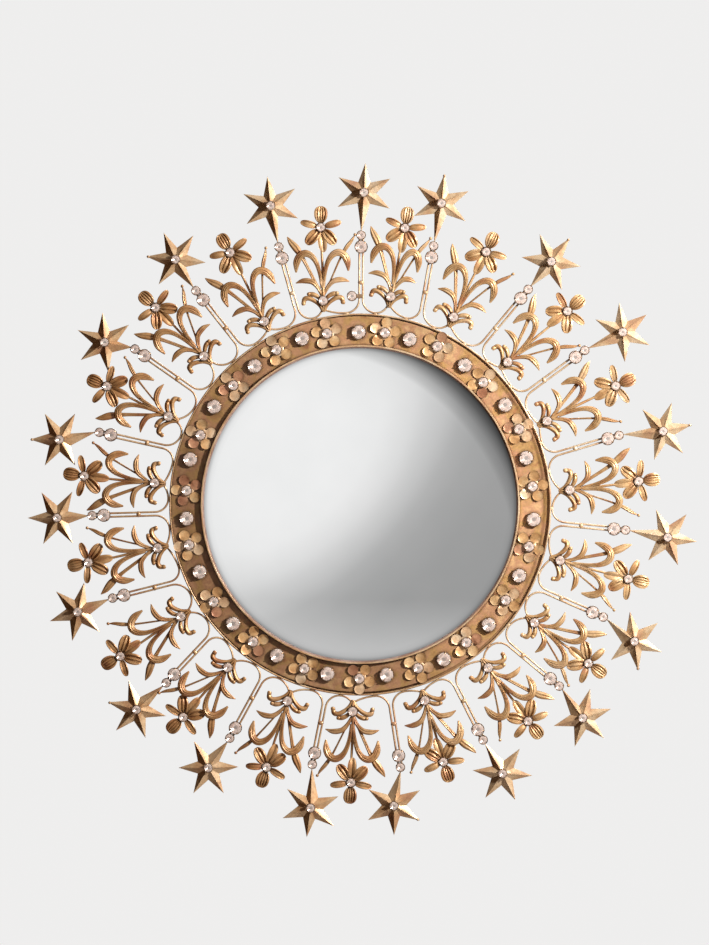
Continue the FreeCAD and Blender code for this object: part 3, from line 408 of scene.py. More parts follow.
class Nodes:
    """The nodes of a material or of the world, and the place of a point among them."""

    def __init__(self, owner, last="Principled BSDF", coordinates="Object"):
        owner.use_nodes = True
        self.owner = owner
        self.tree = owner.node_tree
        self.last = self.tree.nodes[last]
        self.place = self.add("TexCoord", {}).outputs[coordinates]

    def connect(self, node, inputs):
        """Gives each named or numbered input of a node a value, or another node's output."""
        for key, value in inputs.items():
            if isinstance(value, bpy.types.NodeSocket):
                self.tree.links.new(value, node.inputs[key])
            else:
                node.inputs[key].default_value = value

    def add(self, kind, inputs, **settings):
        node = self.tree.nodes.new(f"ShaderNode{kind}")
        for name, value in settings.items():
            setattr(node, name, value)
        self.connect(node, inputs)
        return node

    def finish(self, inputs):
        self.connect(self.last, inputs)
        return self.owner

    def calculate(self, operation, *values):
        return self.add("Math", dict(enumerate(values)), operation=operation).outputs["Value"]

    def vector(self, operation, *values):
        node = self.add("VectorMath", dict(enumerate(values)), operation=operation)
        return node.outputs["Value" if operation in ("DOT_PRODUCT", "LENGTH") else "Vector"]

    def noise(self, scale, detail=4, stretch=None):
        """Noise at a scale per metre; stretch is the share of that scale along each axis."""
        place = self.vector("MULTIPLY", self.place, stretch) if stretch else self.place
        return self.add("TexNoise", {"Vector": place, "Scale": scale, "Detail": detail}).outputs["Fac"]

    def ramp(self, value, stops):
        """A ramp of stops: each is a position, and a grey share or a colour from 0 to 255."""
        node = self.add("ValToRGB", {"Fac": value})
        elements = node.color_ramp.elements
        for index, (position, tone) in enumerate(stops):
            element = elements[index] if index < 2 else elements.new(position)
            element.position = position
            element.color = linear(tone) if isinstance(tone, tuple) else (tone, tone, tone, 1)
        return node.outputs["Color"]

    def mix(self, factor, first, second, kind="MIX"):
        inputs = {0: factor, 6: first, 7: second}
        return self.add("Mix", inputs, data_type="RGBA", blend_type=kind).outputs[2]

    def times(self, first, second, factor=1.0):
        return self.mix(factor, first, second, "MULTIPLY")

    def bump(self, height, strength, distance):
        inputs = {"Height": height, "Strength": strength, "Distance": distance * MM}
        return self.add("Bump", inputs).outputs["Normal"]


def new_material(name):
    return Nodes(bpy.data.materials.new(name))


def metal(name, tones, patina_and_shade, roughness, grain, patch_scale, crevice, metallic=0.35, lower_left_shade=None, shine=0.5):
    """Worn metal: patches of tone, patina and painted shade in the crevices, fine grain and small dents.

    With a shade colour, painted shade darkens it towards the lower left, away from the key lamp."""
    nodes = new_material(name)
    colour = nodes.ramp(nodes.noise(patch_scale, 5), tones)
    for scale, detail, stops, share in ((0.4, 2, ((0.38, 0.80), (0.62, 1.0)), 0.8),
                                        (9, 3, ((0.30, 0.66), (0.62, 1.0)), 0.55)):
        colour = nodes.times(colour, nodes.ramp(nodes.noise(patch_scale * scale, detail), stops), share)
    # Painted shade: the colour darkens towards the lower left, the side turned from the key lamp.
    if lower_left_shade:
        aside = nodes.calculate("ADD", nodes.vector("DOT_PRODUCT", nodes.place, (2.8, 0, 1.1)), 0.5)
        colour = nodes.times(colour, nodes.ramp(aside, ((0.15, lower_left_shade), (0.85, 1.0))))
    # Ambient occlusion darkens the crevices towards the crevice colour: partly patina, partly painted
    # shade.
    shade = nodes.add("AmbientOcclusion", {"Distance": crevice * MM}, samples=6)
    patina_and_shade_mask = nodes.ramp(shade.outputs["AO"], ((0.30, 0.0), (0.88, 1.0)))
    rough = nodes.ramp(nodes.noise(patch_scale * 4, 3), ((0.3, roughness * 0.8), (0.7, roughness * 1.35)))
    return nodes.finish({
        "Base Color": nodes.mix(patina_and_shade_mask, linear(patina_and_shade), colour),
        "Metallic": metallic,
        "Roughness": rough,
        "Specular IOR Level": shine,
        "Normal": nodes.bump(nodes.noise(grain), 0.35, 0.12),
    })


# The colour after a metal's tones fills its crevices: patina and painted shade.
# The last colour of the gilt, band and pale gilt metals is their painted shade at the lower left.
GILT = metal(
    "worn_gilt",
    ((0.32, (196, 138, 100)), (0.46, (212, 164, 112)), (0.56, (226, 186, 136)), (0.68, (232, 192, 150))),
    (46, 16, 3), 0.36, 900, 70, 2.4, 0.3, (222, 208, 194),
)
BAND_METAL = metal(
    "satin_band",
    ((0.30, (182, 124, 84)), (0.42, (216, 172, 110)), (0.54, (216, 162, 124)), (0.66, (238, 194, 142))),
    (46, 18, 4), 0.44, 500, 80, 3.2, 0.2, (186, 180, 172),
)
PALE_GILT = metal(
    "pale_gilt",
    ((0.32, (206, 158, 126)), (0.46, (224, 184, 142)), (0.56, (236, 206, 168)), (0.68, (244, 216, 184))),
    (46, 16, 3), 0.34, 900, 70, 2.0, 0.3, (242, 232, 220),
)
# The bezel's slope: a mauve tone painted in for the glass's reflection, with its own shine nearly off.
BEZEL_METAL = metal(
    "pale_bezel",
    ((0.32, (146, 116, 104)), (0.50, (166, 138, 128)), (0.68, (184, 158, 148))),
    (20, 7, 3), 0.42, 700, 60, 1.8, 0, shine=0.05,
)
PETAL_METALS = [
    metal(name, ((0.32, low), (0.5, middle), (0.68, high)), (46, 16, 3), 0.34, 900, 110, 1.2)
    for name, low, middle, high in (
        ("golden_petals", (212, 158, 104), (234, 184, 128), (246, 208, 158)),
        ("cream_petals", (222, 174, 132), (240, 200, 158), (248, 220, 186)),
        ("copper_petals", (168, 112, 82), (194, 138, 104), (212, 162, 126)),
    )
]
CUP_METAL = metal(
    "cup_metal",
    ((0.32, (120, 84, 58)), (0.55, (184, 150, 118)), (0.70, (226, 204, 178))),
    (40, 20, 10), 0.3, 900, 120, 1.2, 0.5,
)
PLATE_METAL = metal(
    "aged_plate",
    ((0.32, (140, 96, 60)), (0.52, (176, 130, 86)), (0.72, (200, 156, 110))),
    (60, 30, 10), 0.46, 400, 30, 1.6, 0.3,
)
STEEL = metal(
    "dull_zinc",
    ((0.32, (128, 128, 128)), (0.52, (164, 165, 166)), (0.72, (196, 197, 198))),
    (60, 58, 55), 0.42, 700, 90, 2, 0.8,
)


def make_mirror_material():
    """Silvered glass with painted shade towards its edge, most of all at the upper right under the lip."""
    nodes = new_material("silvered_glass")
    haze = nodes.noise(14, 3)
    silver_and_shade = nodes.ramp(haze, ((0.3, (246, 247, 247)), (0.7, (253, 253, 253))))
    # Painted shade: an off-centre ring darkest at the upper right under the lip, and a dark line at the
    # rim.
    for times, shift, stops in (
        (5, 0.25, ((0.834, 1.0), (0.853, 0.82), (0.875, 0.69), (0.898, 0.45), (0.917, 0.27), (0.939, 0.2))),
        (8, 0, ((0.884, 1.0), (0.906, 0.95), (0.917, 0.87), (0.930, 0.62), (0.938, 0.5))),
    ):
        outward = nodes.vector("MULTIPLY_ADD", nodes.place, (times, 0, times), (shift, 0, shift))
        silver_and_shade = nodes.times(silver_and_shade, nodes.ramp(nodes.vector("LENGTH", outward), stops))
    rough = nodes.ramp(haze, ((0.3, 0.02), (0.7, 0.05)))
    return nodes.finish({"Base Color": silver_and_shade, "Metallic": 1, "Roughness": rough})


def clouded(name, scale, tones, rough, constants):
    """A material with soft clouds of two tones, whose roughness follows them."""
    nodes = new_material(name)
    cloud = nodes.noise(scale, 3)
    return nodes.finish({"Base Color": nodes.ramp(cloud, tones), "Roughness": nodes.ramp(cloud, rough),
                         **constants})


def make_card_material():
    nodes = new_material("grey_card")
    fibres = nodes.noise(600, 6)
    return nodes.finish({
        "Base Color": nodes.ramp(fibres, ((0.3, (120, 108, 92)), (0.7, (156, 142, 122)))),
        "Roughness": 0.9,
        "Normal": nodes.bump(fibres, 0.4, 0.1),
    })


def make_wood_material():
    """Plain softwood with the grain upright, darker in its growth lines."""
    nodes = new_material("board_wood")
    lines = nodes.noise(46, 4, (1, 1, 0.03))
    colour = nodes.ramp(lines, ((0.36, (134, 94, 60)), (0.44, (168, 126, 84)), (0.52, (152, 110, 70)),
                                (0.62, (184, 144, 100))))
    pores = nodes.ramp(nodes.noise(900, 3, (1, 1, 0.04)), ((0.35, 0.7), (0.6, 1.0)))
    age = nodes.ramp(nodes.noise(12), ((0.3, 0.78), (0.7, 1.0)))
    return nodes.finish({
        "Base Color": nodes.times(nodes.times(colour, pores, 0.6), age),
        "Roughness": 0.72,
        "Normal": nodes.bump(pores, 0.4, 0.15),
    })


# Clear cut glass with a milky blush, and the silvered back of a stone that is seen through it.
STONE = clouded("cut_stone", 260, ((0.3, (244, 222, 214)), (0.7, (255, 248, 244))),
                ((0.3, 0.02), (0.7, 0.12)), {"IOR": 1.6, "Alpha": 0.42})
FOIL = clouded("stone_foil", 420, ((0.3, (226, 200, 188)), (0.6, (255, 240, 232))),
               ((0.3, 0.30), (0.7, 0.16)), {"Metallic": 0.35})


# Where the stems and the sprigs run

class Line:
    """A straight line outward from a foot, with its direction and what lies to its right."""

    def __init__(self, foot, end):
        self.foot = foot
        self.along = (end - foot).normalized()
        self.bearing = bearing_of(self.along)
        self.right = Vector((self.along.y, -self.along.x, 0))


class Ray(Line):
    """The stem of one star, with its two stones and its star."""

    def __init__(self, star_bearing, star_share, spin, stone_bearing, stone_share, foot_bearing):
        large = spot(stone_bearing, STEM_STONE_REACH * stone_share, WIRE_MIDDLE)
        super().__init__(spot(foot_bearing, FLARE_REACH, WIRE_MIDDLE), large)
        self.star = spot(star_bearing, STAR_REACH * star_share, DECK)
        self.star_turn = star_bearing + spin
        self.large_stone = large + up(WIRE_RADIUS)
        self.small_stone = large + self.along * STONE_STEP + up(WIRE_RADIUS)
        self.top = large + self.along * (STONE_STEP + STEM_TAIL)
        self.knot = self.foot + self.along * (KNOT_REACH - FLARE_REACH + KNOT_LENGTH / 2)


class Sprig(Line):
    """One sprig: its foot stone, its lily stone and the direction between them."""

    def __init__(self, foot_bearing, foot_share, lily_bearing, lily_share):
        self.lily = spot(lily_bearing, LILY_REACH * lily_share, DECK)
        super().__init__(spot(foot_bearing, FOOT_REACH * foot_share, DECK), self.lily)
        self.span = (self.lily - self.foot).length

    def wire_end(self, side):
        """Where the stem wire from this side ends, under the foot."""
        end = self.foot - self.along * (FOOT_DROP - WIRE_LAP) + self.right * (side * WIRE_GAP / 2)
        return Vector((end.x, end.y, WIRE_MIDDLE))


rays = [Ray(*line) for line in RAY_SHARES]
sprigs = [Sprig(*line) for line in SPRIG_SHARES]


# Stems

def arc_points(start, heading, end, steps):
    """Points on the arc that leaves start along a heading and arrives at end."""
    chord = end - start
    turn = heading.angle(chord)
    aside = (heading - chord * (heading.dot(chord) / chord.dot(chord))).normalized()
    radius = chord.length / (2 * math.sin(turn))
    middle = start + chord / 2 - aside * (radius * math.cos(turn))
    first = (start - middle).normalized()
    onward = heading.normalized()
    points = []
    for step in range(steps + 1):
        angle = 2 * turn * step / steps
        points.append(middle + (first * math.cos(angle) + onward * math.sin(angle)) * radius)
    return points


def stem_path(ray, side, foot_end):
    """One wire of a stem: down from the stones, spread onto the rim, and out to a sprig's foot."""
    offset = ray.right * (side * STEM_SPREAD / 2)
    top = ray.top + offset
    start = ray.foot + offset
    outward = ray.right * side
    flat_start = Vector((start.x, start.y, 0))
    reach_out = flat_start.dot(outward)
    flare = (flat_start.length ** 2 - RIM_TOUCH ** 2) / (2 * (RIM_TOUCH - reach_out))
    centre = flat_start + outward * flare
    touch = centre * (RIM_TOUCH / (RIM_TOUCH + flare)) + up(WIRE_MIDDLE)
    onward = Vector((touch.y, -touch.x, 0)).normalized() * side
    straight = [top.lerp(start, step / 10) for step in range(10)]
    first_bend = arc_points(start, ray.along * -1, touch, 12)
    last_bend = arc_points(touch, onward, foot_end, 12)
    return straight + first_bend[:-1] + last_bend, touch


def make_stems():
    wires = Piece("stem_wires_gilt")
    solder = Piece("solder_drops")
    for index, ray in enumerate(rays):
        for side, sprig in ((1, sprigs[index]), (-1, sprigs[index - 1])):
            path, touch = stem_path(ray, side, sprig.wire_end(-side))
            wires.add(wire(path, 0.06, 0.25))
            inward = Vector((touch.x, touch.y, 0)).normalized() * WIRE_RADIUS
            solder.add(drop(touch - inward, (1.9, 1.15, 0.95), bearing_of(touch)))
        solder.add(drop(ray.knot, (2.3, 1.7, 1.25), ray.bearing, 14))
    wires.finish(PALE_GILT, "gilt_metal", "stem_wires", sharp=50)
    solder.finish(PALE_GILT, "gilt_metal", "stem_knots", sharp=60)
    path = [spot(bearing, RIM_RADIUS, WIRE_MIDDLE + RIM_LIFT) for bearing in range(360)]
    rim = Piece("rim_wire_gilt", wire(path, 0.05, 0.12, joined=True))
    rim.finish(PALE_GILT, "gilt_metal", "rim_wire", sharp=50)


# Glass, bezel and band

def make_glass():
    """A domed glass of even thickness."""
    radius = (GLASS_RADIUS ** 2 + GLASS_RISE ** 2) / (2 * GLASS_RISE)
    centre = GLASS_EDGE + GLASS_RISE - radius
    steps = 40
    front = []
    rear = []
    for step in range(steps + 1):
        reach = GLASS_RADIUS * step / steps
        front.append((reach, centre + math.sqrt(radius ** 2 - reach ** 2)))
        rear.append((reach, centre + math.sqrt((radius - GLASS_THICK) ** 2 - reach ** 2)))
    rear[-1] = (GLASS_RADIUS, max(rear[-1][1], GLASS_REAR))
    glass = Piece("domed_glass", turned(front + rear[::-1], 192))
    glass.finish(make_mirror_material(), "mirror_glass", "mirror_glass", sharp=40)


def make_bezel():
    """The ring's bright crest, and the slope down to the glass, whose mauve paints the glass's reflection.
    """
    inner = LIP_INSIDE + 1.3
    under = LIP_REAR - 0.2
    shoulder = LIP_FRONT - 0.1
    crest = [(BEZEL_INSIDE, PLATE_TOP), (BEZEL_OUTSIDE, PLATE_TOP), (BEZEL_OUTSIDE, LIP_REAR + 0.3),
             (BEZEL_OUTSIDE - 0.1, LIP_REAR + 0.75), (BEZEL_OUTSIDE - 0.24, LIP_FRONT - 0.03),
             (BEZEL_OUTSIDE - 0.45, LIP_FRONT), (inner + 0.1, LIP_FRONT - 0.03), (inner, shoulder),
             (inner, under), (BEZEL_INSIDE, under)]
    slope = [(LIP_INSIDE, under), (inner, under), (inner, shoulder)]
    for name, profile, material in (("crest", crest, PALE_GILT), ("slope", slope, BEZEL_METAL)):
        Piece(f"bezel_{name}", turned(profile, 256)).finish(material, "gilt_metal", "bezel", sharp=30)


def bent(point):
    """How far the edge of the band is bent up at a point, as a share: most on the right."""
    return eased((Vector((point.x, point.y, 0)).normalized().dot(compass(84)) - 0.7) / 0.2)


def make_band():
    """The flat band, slightly dented, with turned-down sides; its outer edge is bent up on the right."""
    inside = BEZEL_OUTSIDE
    under = BAND_FRONT - BAND_SHEET
    steps = 16
    profile = [(inside, PLATE_TOP), (inside, BAND_FRONT - 0.12)]
    for step in range(steps + 1):
        profile.append((even(inside + 0.25, BAND_RADIUS - 3, step / steps), BAND_FRONT - 0.05))
    profile += [(BAND_RADIUS + past, BAND_FRONT + above) for past, above in (
        (-2.2, 0), (-1.4, 0.05), (-0.6, 0.1), (0.15, 0.12), (0.25, 0), (0.25, -0.9))]
    profile += [(BAND_RADIUS, PLATE_TOP), (BAND_RADIUS - BAND_SHEET, PLATE_TOP),
                (BAND_RADIUS - BAND_SHEET, under), (inside + BAND_SHEET, under),
                (inside + BAND_SHEET, PLATE_TOP)]
    points, faces = turned(profile, 240)
    for point in points:
        reach = math.hypot(point.x, point.y)
        outer = eased((reach - inside - BAND_SHEET) / (BAND_RADIUS - inside - 2 * BAND_SHEET))
        if point.z > BAND_FRONT - 0.1 and inside + 1 < reach < BAND_RADIUS - 2.2:
            point.z += 0.16 * noise.noise(point * 0.16) - 0.1
        if point.z > BAND_FRONT - 0.6:
            point.z += EDGE_BEND * bent(point) * eased((reach - BAND_RADIUS + 2.8) / 3)
        point.x -= BAND_ASIDE * outer
        point.y += BAND_ABOVE * outer
    Piece("band_plate_satin", (points, faces)).finish(BAND_METAL, "band_metal", "band_plate", sharp=35)


# Stones and their cups

def stone_mesh(diameter):
    """A brilliant-cut stone in its cup: the clear upper part, and the silvered facets of its back."""
    lowest, girdle, crown, table = (diameter * share for share in LEVEL_SHARES)
    sides = 8

    def ring(count, shift, radius, height):
        return [spot((side + shift) * 360 / count, radius, height) for side in range(count)]

    back = ring(sides, 0, diameter * CULET_SHARE, lowest) + ring(sides * 2, 0, diameter / 2, girdle)
    back_faces = [tuple(range(sides))]
    front = ring(sides * 2, 0, diameter / 2, girdle) + ring(sides * 2, 0, diameter / 2, crown)
    front += ring(sides, 0.5, diameter * STAR_FACET_SHARE, even(crown, table, 0.62))
    front += ring(sides, 0, diameter * TABLE_SHARE, table)
    at_crown = sides * 2
    at_star = at_crown + sides * 2
    at_table = at_star + sides
    front_faces = [tuple(range(at_table, at_table + sides))]
    for side in range(sides):
        onward = (side + 1) % sides
        before = (side - 1) % sides
        corner, middle, following = 2 * side, 2 * side + 1, (2 * side + 2) % (2 * sides)
        back_faces += [(side, sides + corner, sides + middle), (side, sides + middle, onward),
                       (onward, sides + middle, sides + following)]
        front_faces += [
            (corner, at_crown + corner, at_crown + middle, middle),
            (middle, at_crown + middle, at_crown + following, following),
            (at_star + side, at_crown + corner, at_crown + middle),
            (at_star + side, at_crown + middle, at_crown + following),
            (at_table + side, at_star + side, at_table + onward),
            (at_table + side, at_star + before, at_crown + corner, at_star + side),
        ]
    return (front, front_faces), (back, back_faces)


def cup_mesh(diameter):
    """The cup round a stone: a narrow foot, a flared wall and a folded edge."""
    outside = diameter / 2 + CUP_ROOM
    inside = diameter / 2 + 0.1
    floor, girdle = (diameter * share for share in LEVEL_SHARES[:2])
    culet = diameter * CULET_SHARE + 0.1
    profile = [(0, 0), (outside * 0.80, 0), (outside * 0.86, girdle * 0.3), (outside * 0.97, girdle * 0.6),
               (outside, girdle * 0.8), (outside - 0.08, girdle), (inside, girdle - 0.05),
               (culet, floor), (0, floor)]
    return turned(profile, 24)


def claw_mesh(diameter, bearing):
    """One claw: a narrow strip up the cup's wall, bent over the edge of the stone."""
    outside = diameter / 2 + CUP_ROOM
    girdle, crown = (diameter * share for share in LEVEL_SHARES[1:3])
    over_stone = diameter * 0.11
    thick = 0.42
    steps = 3
    line = ((outside * 0.90, girdle * 0.25), (outside + 0.02, girdle * 0.75), (outside, crown),
            (outside - diameter * 0.06, crown + diameter * 0.07),
            (outside - diameter * 0.15, crown + over_stone))
    width = diameter * CLAW_SHARE / 2
    outward = compass(bearing)
    across = compass(bearing + 90)
    rows = []
    for index, (reach, height) in enumerate(smooth_line(line, steps)):
        share = index / (steps * (len(line) - 1))
        half = width * (1 - 0.35 * share)
        lean = min(1, max(0, (height - crown) / over_stone))
        inner = outward * (reach - thick * (1 - lean)) + up(height - thick * 0.8 * lean)
        outer = outward * reach + up(height)
        crest = outward * (reach + 0.12 * (1 - lean)) + up(height + 0.15 * lean)
        rows.append([inner - across * half, outer - across * half * 0.8, crest,
                     outer + across * half * 0.8, inner + across * half])
    return skin(rows)


def on_band(shares, height):
    """The place and the bearing of each thing that sits on the band."""
    return [(spot(bearing, BAND_REACH * share, height), bearing) for bearing, share in shares]


def add_odd_tab(cups, base):
    """The flat tab that carries the odd stone, from the first stem to the round pad under its cup."""
    half = TAB_WIDTH / 2
    ease = TAB_THICK * 0.3
    section = ((-half, 0), (half, 0), (half, TAB_THICK - ease), (half - ease, TAB_THICK),
               (ease - half, TAB_THICK), (-half, TAB_THICK - ease))
    length = abs((base - rays[0].foot).dot(rays[0].right)) + STEM_SPREAD / 2
    turn = set_down(base, rays[0].bearing)
    cups.add(skin([[Vector((x, across, height)) for across, height in section] for x in (0, length)]), turn)
    cups.add(disc(FOOT_STONE / 2 + CUP_ROOM, TAB_THICK, 24), turn)


def set_stones(foils, cups_name, nodes, tab=None):
    """For each node its stones, with their silvered backs and cups: each group is a diameter and the
    places and bearings of its stones."""
    cups = Piece(f"{cups_name}_cups_claws")
    for node, groups in nodes.items():
        stones = Piece(f"{node}_stones_cut")
        for diameter, places in groups:
            for place, bearing in places:
                turn = set_down(place, bearing + hand.uniform(-12, 12))
                clear, silvered = stone_mesh(diameter)
                stones.add(clear, turn)
                foils.add(silvered, turn)
                cups.add(cup_mesh(diameter), turn)
                for claw in range(CLAWS):
                    cups.add(claw_mesh(diameter, (claw + 0.5) * 360 / CLAWS), turn)
        stones.finish(STONE, "cut_stone", f"{node}_stones")
    if tab:
        add_odd_tab(cups, tab)
    cups.finish(CUP_METAL, "cup_metal", f"{cups_name}_cups", sharp=35)


def make_stones():
    """All the stones and cups, with one piece of cups for each kind of place they sit."""
    foils = Piece("stone_foils")
    set_stones(foils, "band", {
        "band": [(BAND_STONE, on_band(BAND_STONE_SHARES, BAND_FRONT))],
        "rosette": [(ROSETTE_STONE, on_band(ROSETTE_SHARES, BAND_FRONT + ROSETTE_SHEET))],
    })
    set_stones(foils, "stem", {"stem": [
        (STEM_STONE, [(ray.large_stone, ray.bearing) for ray in rays]),
        (SMALL_STONE, [(ray.small_stone, ray.bearing) for ray in rays]),
    ]})
    seat = up(STAR_RISE + STAR_SHEET - STAR_SEAT)
    set_stones(foils, "star", {"star": [(SMALL_STONE, [(ray.star + seat, ray.star_turn) for ray in rays])]})
    bearing, share = ODD_STONE_SHARES
    base = spot(bearing, FOOT_REACH * share, DECK)
    set_stones(foils, "sprig", {"sprig": [
        (FOOT_STONE, [(sprig.foot + up(BOSS_THICK), sprig.bearing) for sprig in sprigs]),
        (SMALL_STONE, [(sprig.lily + up(LILY_SHEET), sprig.bearing) for sprig in sprigs]),
        (FOOT_STONE, [(base + up(TAB_THICK), rays[0].bearing)]),
    ]}, tab=base)
    foils.finish(FOIL, "cut_stone")


# Rosettes

def rosette_petal(bearing, tilt_out, tilt_aside):
    """One round petal with a shallow hollow and a turned edge, tilted a little by hand."""
    centre = compass(bearing) * (ROSETTE_RADIUS - PETAL_RADIUS)
    thick = 0.35
    rings = 7
    sides = 24
    top = []
    for ring in range(rings + 1):
        share = ring / rings
        row = []
        for side in range(sides):
            angle = side * 360 / sides
            offset = compass(bearing + angle) * PETAL_RADIUS * share
            outward = math.cos(math.radians(angle)) * share
            aside = math.sin(math.radians(angle)) * share
            hollow = 0.2 * share ** 2 + 0.15 * eased((share - 0.8) / 0.2)
            height = ROSETTE_SHEET + 0.25 + hollow + tilt_out * outward + tilt_aside * aside
            neck = eased((-0.1 - outward) / 0.6)
            row.append(centre + offset + up(max(even(height, ROSETTE_SHEET + 0.1, neck), thick)))
        top.append(row)
    under = [[point - up(thick) for point in row] for row in top]
    points, faces = skin(top + under[::-1])
    return points, faces[:-2]


def make_rosettes():
    """Pressed five-petalled flowers, each petal of its own tone."""
    flowers = [Piece(f"rosettes_{tone}") for tone in ("golden", "cream", "copper")]
    cream = flowers[1]
    middle = ROSETTE_STONE / 2 + CUP_ROOM + 1.2
    pad = [(0, 0), (middle, 0), (middle, ROSETTE_SHEET * 0.7), (middle - 0.4, ROSETTE_SHEET),
           (0, ROSETTE_SHEET)]
    for place, bearing in on_band(ROSETTE_SHARES, BAND_FRONT):
        turn = set_down(place, bearing + hand.uniform(-5, 5))
        for petal in range(ROSETTE_PETALS):
            out = hand.uniform(-0.35, 0.85)
            aside = hand.uniform(-0.7, 0.7)
            tone = hand.choices(flowers, (4, 3, 2))[0]
            tone.add(rosette_petal(petal * 360 / ROSETTE_PETALS, out, aside), turn)
        cream.add(turned(pad, 32), turn)
    for tone, material in zip(flowers, PETAL_METALS):
        tone.finish(material, "gilt_metal", "band_rosettes", sharp=50)


# Stars

def make_star(index, ray):
    """An embossed star of ridged rays with a hollow back; its inward ray is the tail to the stem."""
    centre = ray.star
    peak = centre + up(STAR_RISE)
    sheet = up(STAR_SHEET - 0.05)
    corners = []
    for step in range(STAR_RAYS):
        turn = ray.star_turn + step * 360 / STAR_RAYS
        tip = centre + compass(turn + hand.uniform(-1.2, 1.2)) * (STAR_RAY - 0.15)
        if step == STAR_RAYS // 2:
            tip = Vector((ray.small_stone.x, ray.small_stone.y, centre.z)) + ray.along * 2.2
        corners.append(tip)
        corners.append(centre + compass(turn + 180 / STAR_RAYS) * STAR_VALLEY)
    star = Piece(f"star_{index:02d}_ridged")
    if index in STAR_BEADS:
        tip = corners[2 * STAR_BEADS[index]]
        inward = (centre - tip).normalized()
        star.add(drop(tip + inward * 1.6 + up(1.1), (1.1, 1.1, 1.0)))
    rows = 7
    sides = []
    for lift in (Vector(), sheet):
        rings = []
        for row in range(1, rows + 1):
            share = row / rows
            ring = []
            for corner, point in enumerate(corners):
                following = corners[(corner + 1) % len(corners)]
                ring.append(peak.lerp(point, share) + lift)
                sagged = peak.lerp(point.lerp(following, 0.5), share) + lift
                ring.append(sagged - up(0.28 * math.sin(math.pi * share)))
            rings.append(ring)
        sides.append(rings)
    under, over = sides
    star.add(skin(over + under[::-1]))
    star.finish(PALE_GILT, "gilt_metal", f"star_{index:02d}", sharp=12)


# Sprigs

def sheet_mesh(lines, columns, thick, lowest=-1):
    """A thin sheet over cross lines: each is its middle, the vector to its end, and what gives its
    height at a place from -1 to 1 along it."""
    rows = []
    for middle, across, height_at in lines:
        top = []
        under = []
        for column in range(columns + 1):
            place = -1 + 2 * column / columns
            height = height_at(place)
            top.append(middle + across * place + up(max(height, lowest)))
            under.append(middle + across * place + up(max(0, height - thick)))
        rows.append(top + under[::-1])
    return skin(rows)


def grooves_at(place, count):
    """How deep the grooves of a sheet are at a place across it, as a share."""
    return 0.5 + 0.5 * math.cos(math.pi * count * (place + 1))


def leaf_mesh(stations, side, spread=1, width_share=1, ribs=1):
    """A leaf of thin metal, ridged along its middle and grooved along its length."""
    line = smooth_line(stations, LEAF_STEPS)
    middles = [Vector((side * spread * u, v, z)) * SPRIG_SPAN for u, v, z, _, _ in line]
    last = len(line) - 1
    lines = []
    for index, (_, _, _, width, ridge) in enumerate(line):
        heading = middles[min(index + 1, last)] - middles[max(index - 1, 0)]
        half = max(width, 0.010) * width_share * SPRIG_SPAN / 2
        across = Vector((-heading.y, heading.x, 0)).normalized() * half
        crown = max(ridge, 0.004) * SPRIG_SPAN
        fade = eased(index / 4) * eased((last - index) / 4)

        def height_at(place, crown=crown, fade=fade):
            arch = (1 - place * place) ** 0.7
            groove = RIB_DEPTH * fade * grooves_at(place, ribs) * arch
            return EDGE_THICK + (crown - EDGE_THICK) * arch - groove

        lines.append((middles[index], across, height_at))
    return sheet_mesh(lines, LEAF_COLUMNS, LEAF_THICK)


def petal_oval(share, power):
    """The half width of a petal at a share of its length, as a share of its greatest."""
    return math.sqrt(1 - abs(2 * share ** power - 1.03) ** 2.3) if share > 0.05 else 0.4


def petal_mesh(bearing, length, width, grooves, depth, rim, lift):
    """One petal of a lily: narrow at the stone, oval, with a raised edge and grooves along its hollow."""
    steps = 22
    lines = []
    for step in range(steps + 1):
        share = step / steps
        half = max(width / 2 * petal_oval(share, 1 if bearing else 1.25), 0.3)
        arch = LILY_ARCH * math.sin(math.pi * min(1, share * 0.95)) ** 0.8 * lift
        fade = eased(share * 5) * eased((1 - share) * 6)

        def height_at(place, arch=arch, fade=fade):
            edge = rim * eased((abs(place) - 0.45) / 0.35) * (1 - 0.6 * eased((abs(place) - 0.85) / 0.15))
            groove = depth * fade * grooves_at(place, grooves) ** 1.5
            return 0.7 + arch + (edge - 0.3 * rim) * fade - groove * (1 - place ** 8)

        middle = compass(bearing) * even(LILY_RADIUS * 0.12, length, share)
        lines.append((middle, compass(bearing + 90) * half, height_at))
    return sheet_mesh(lines, 24, 0.5, 0.3)


def add_foot(plant, turn):
    """The foot of a sprig: its plate, the strands that run down to the rim, and the stone's boss."""
    half = FOOT_WIDTH / 2
    outline = ((-half, 0), (-half / 2, -FOOT_DROP), (half / 2, -FOOT_DROP), (half, 0))
    plate = [[Vector((x, y, height)) for x, y in outline] for height in (0, BOSS_THICK * 0.5)]
    plant.add(skin(plate), turn)
    for side, stations in ((0, MIDDLE_STRAND_SHARES), (1, SIDE_STRAND_SHARES), (-1, SIDE_STRAND_SHARES)):
        plant.add(leaf_mesh(stations, side), turn)
    plant.add(turned([(0, 0), (BOSS_RADIUS, 0), (BOSS_RADIUS, BOSS_THICK * 0.6),
                      (BOSS_RADIUS * 0.85, BOSS_THICK), (0, BOSS_THICK)], 24), turn)


def add_stalk(plant, turn, end, sway):
    """The stalk of a sprig, flat behind and thinner towards the lily."""
    steps = 14
    path = []
    radii = []
    for step in range(steps + 1):
        share = step / steps
        path.append(Vector((0.35 * math.sin(share * 4 + sway), end * share, STALK_RADIUS * 0.55)))
        radii.append(even(STALK_RADIUS, STALK_RADIUS * 0.55, share))
    points, faces = tube(path, radii)
    plant.add(([Vector((point.x, point.y, max(point.z, 0))) for point in points], faces), turn)


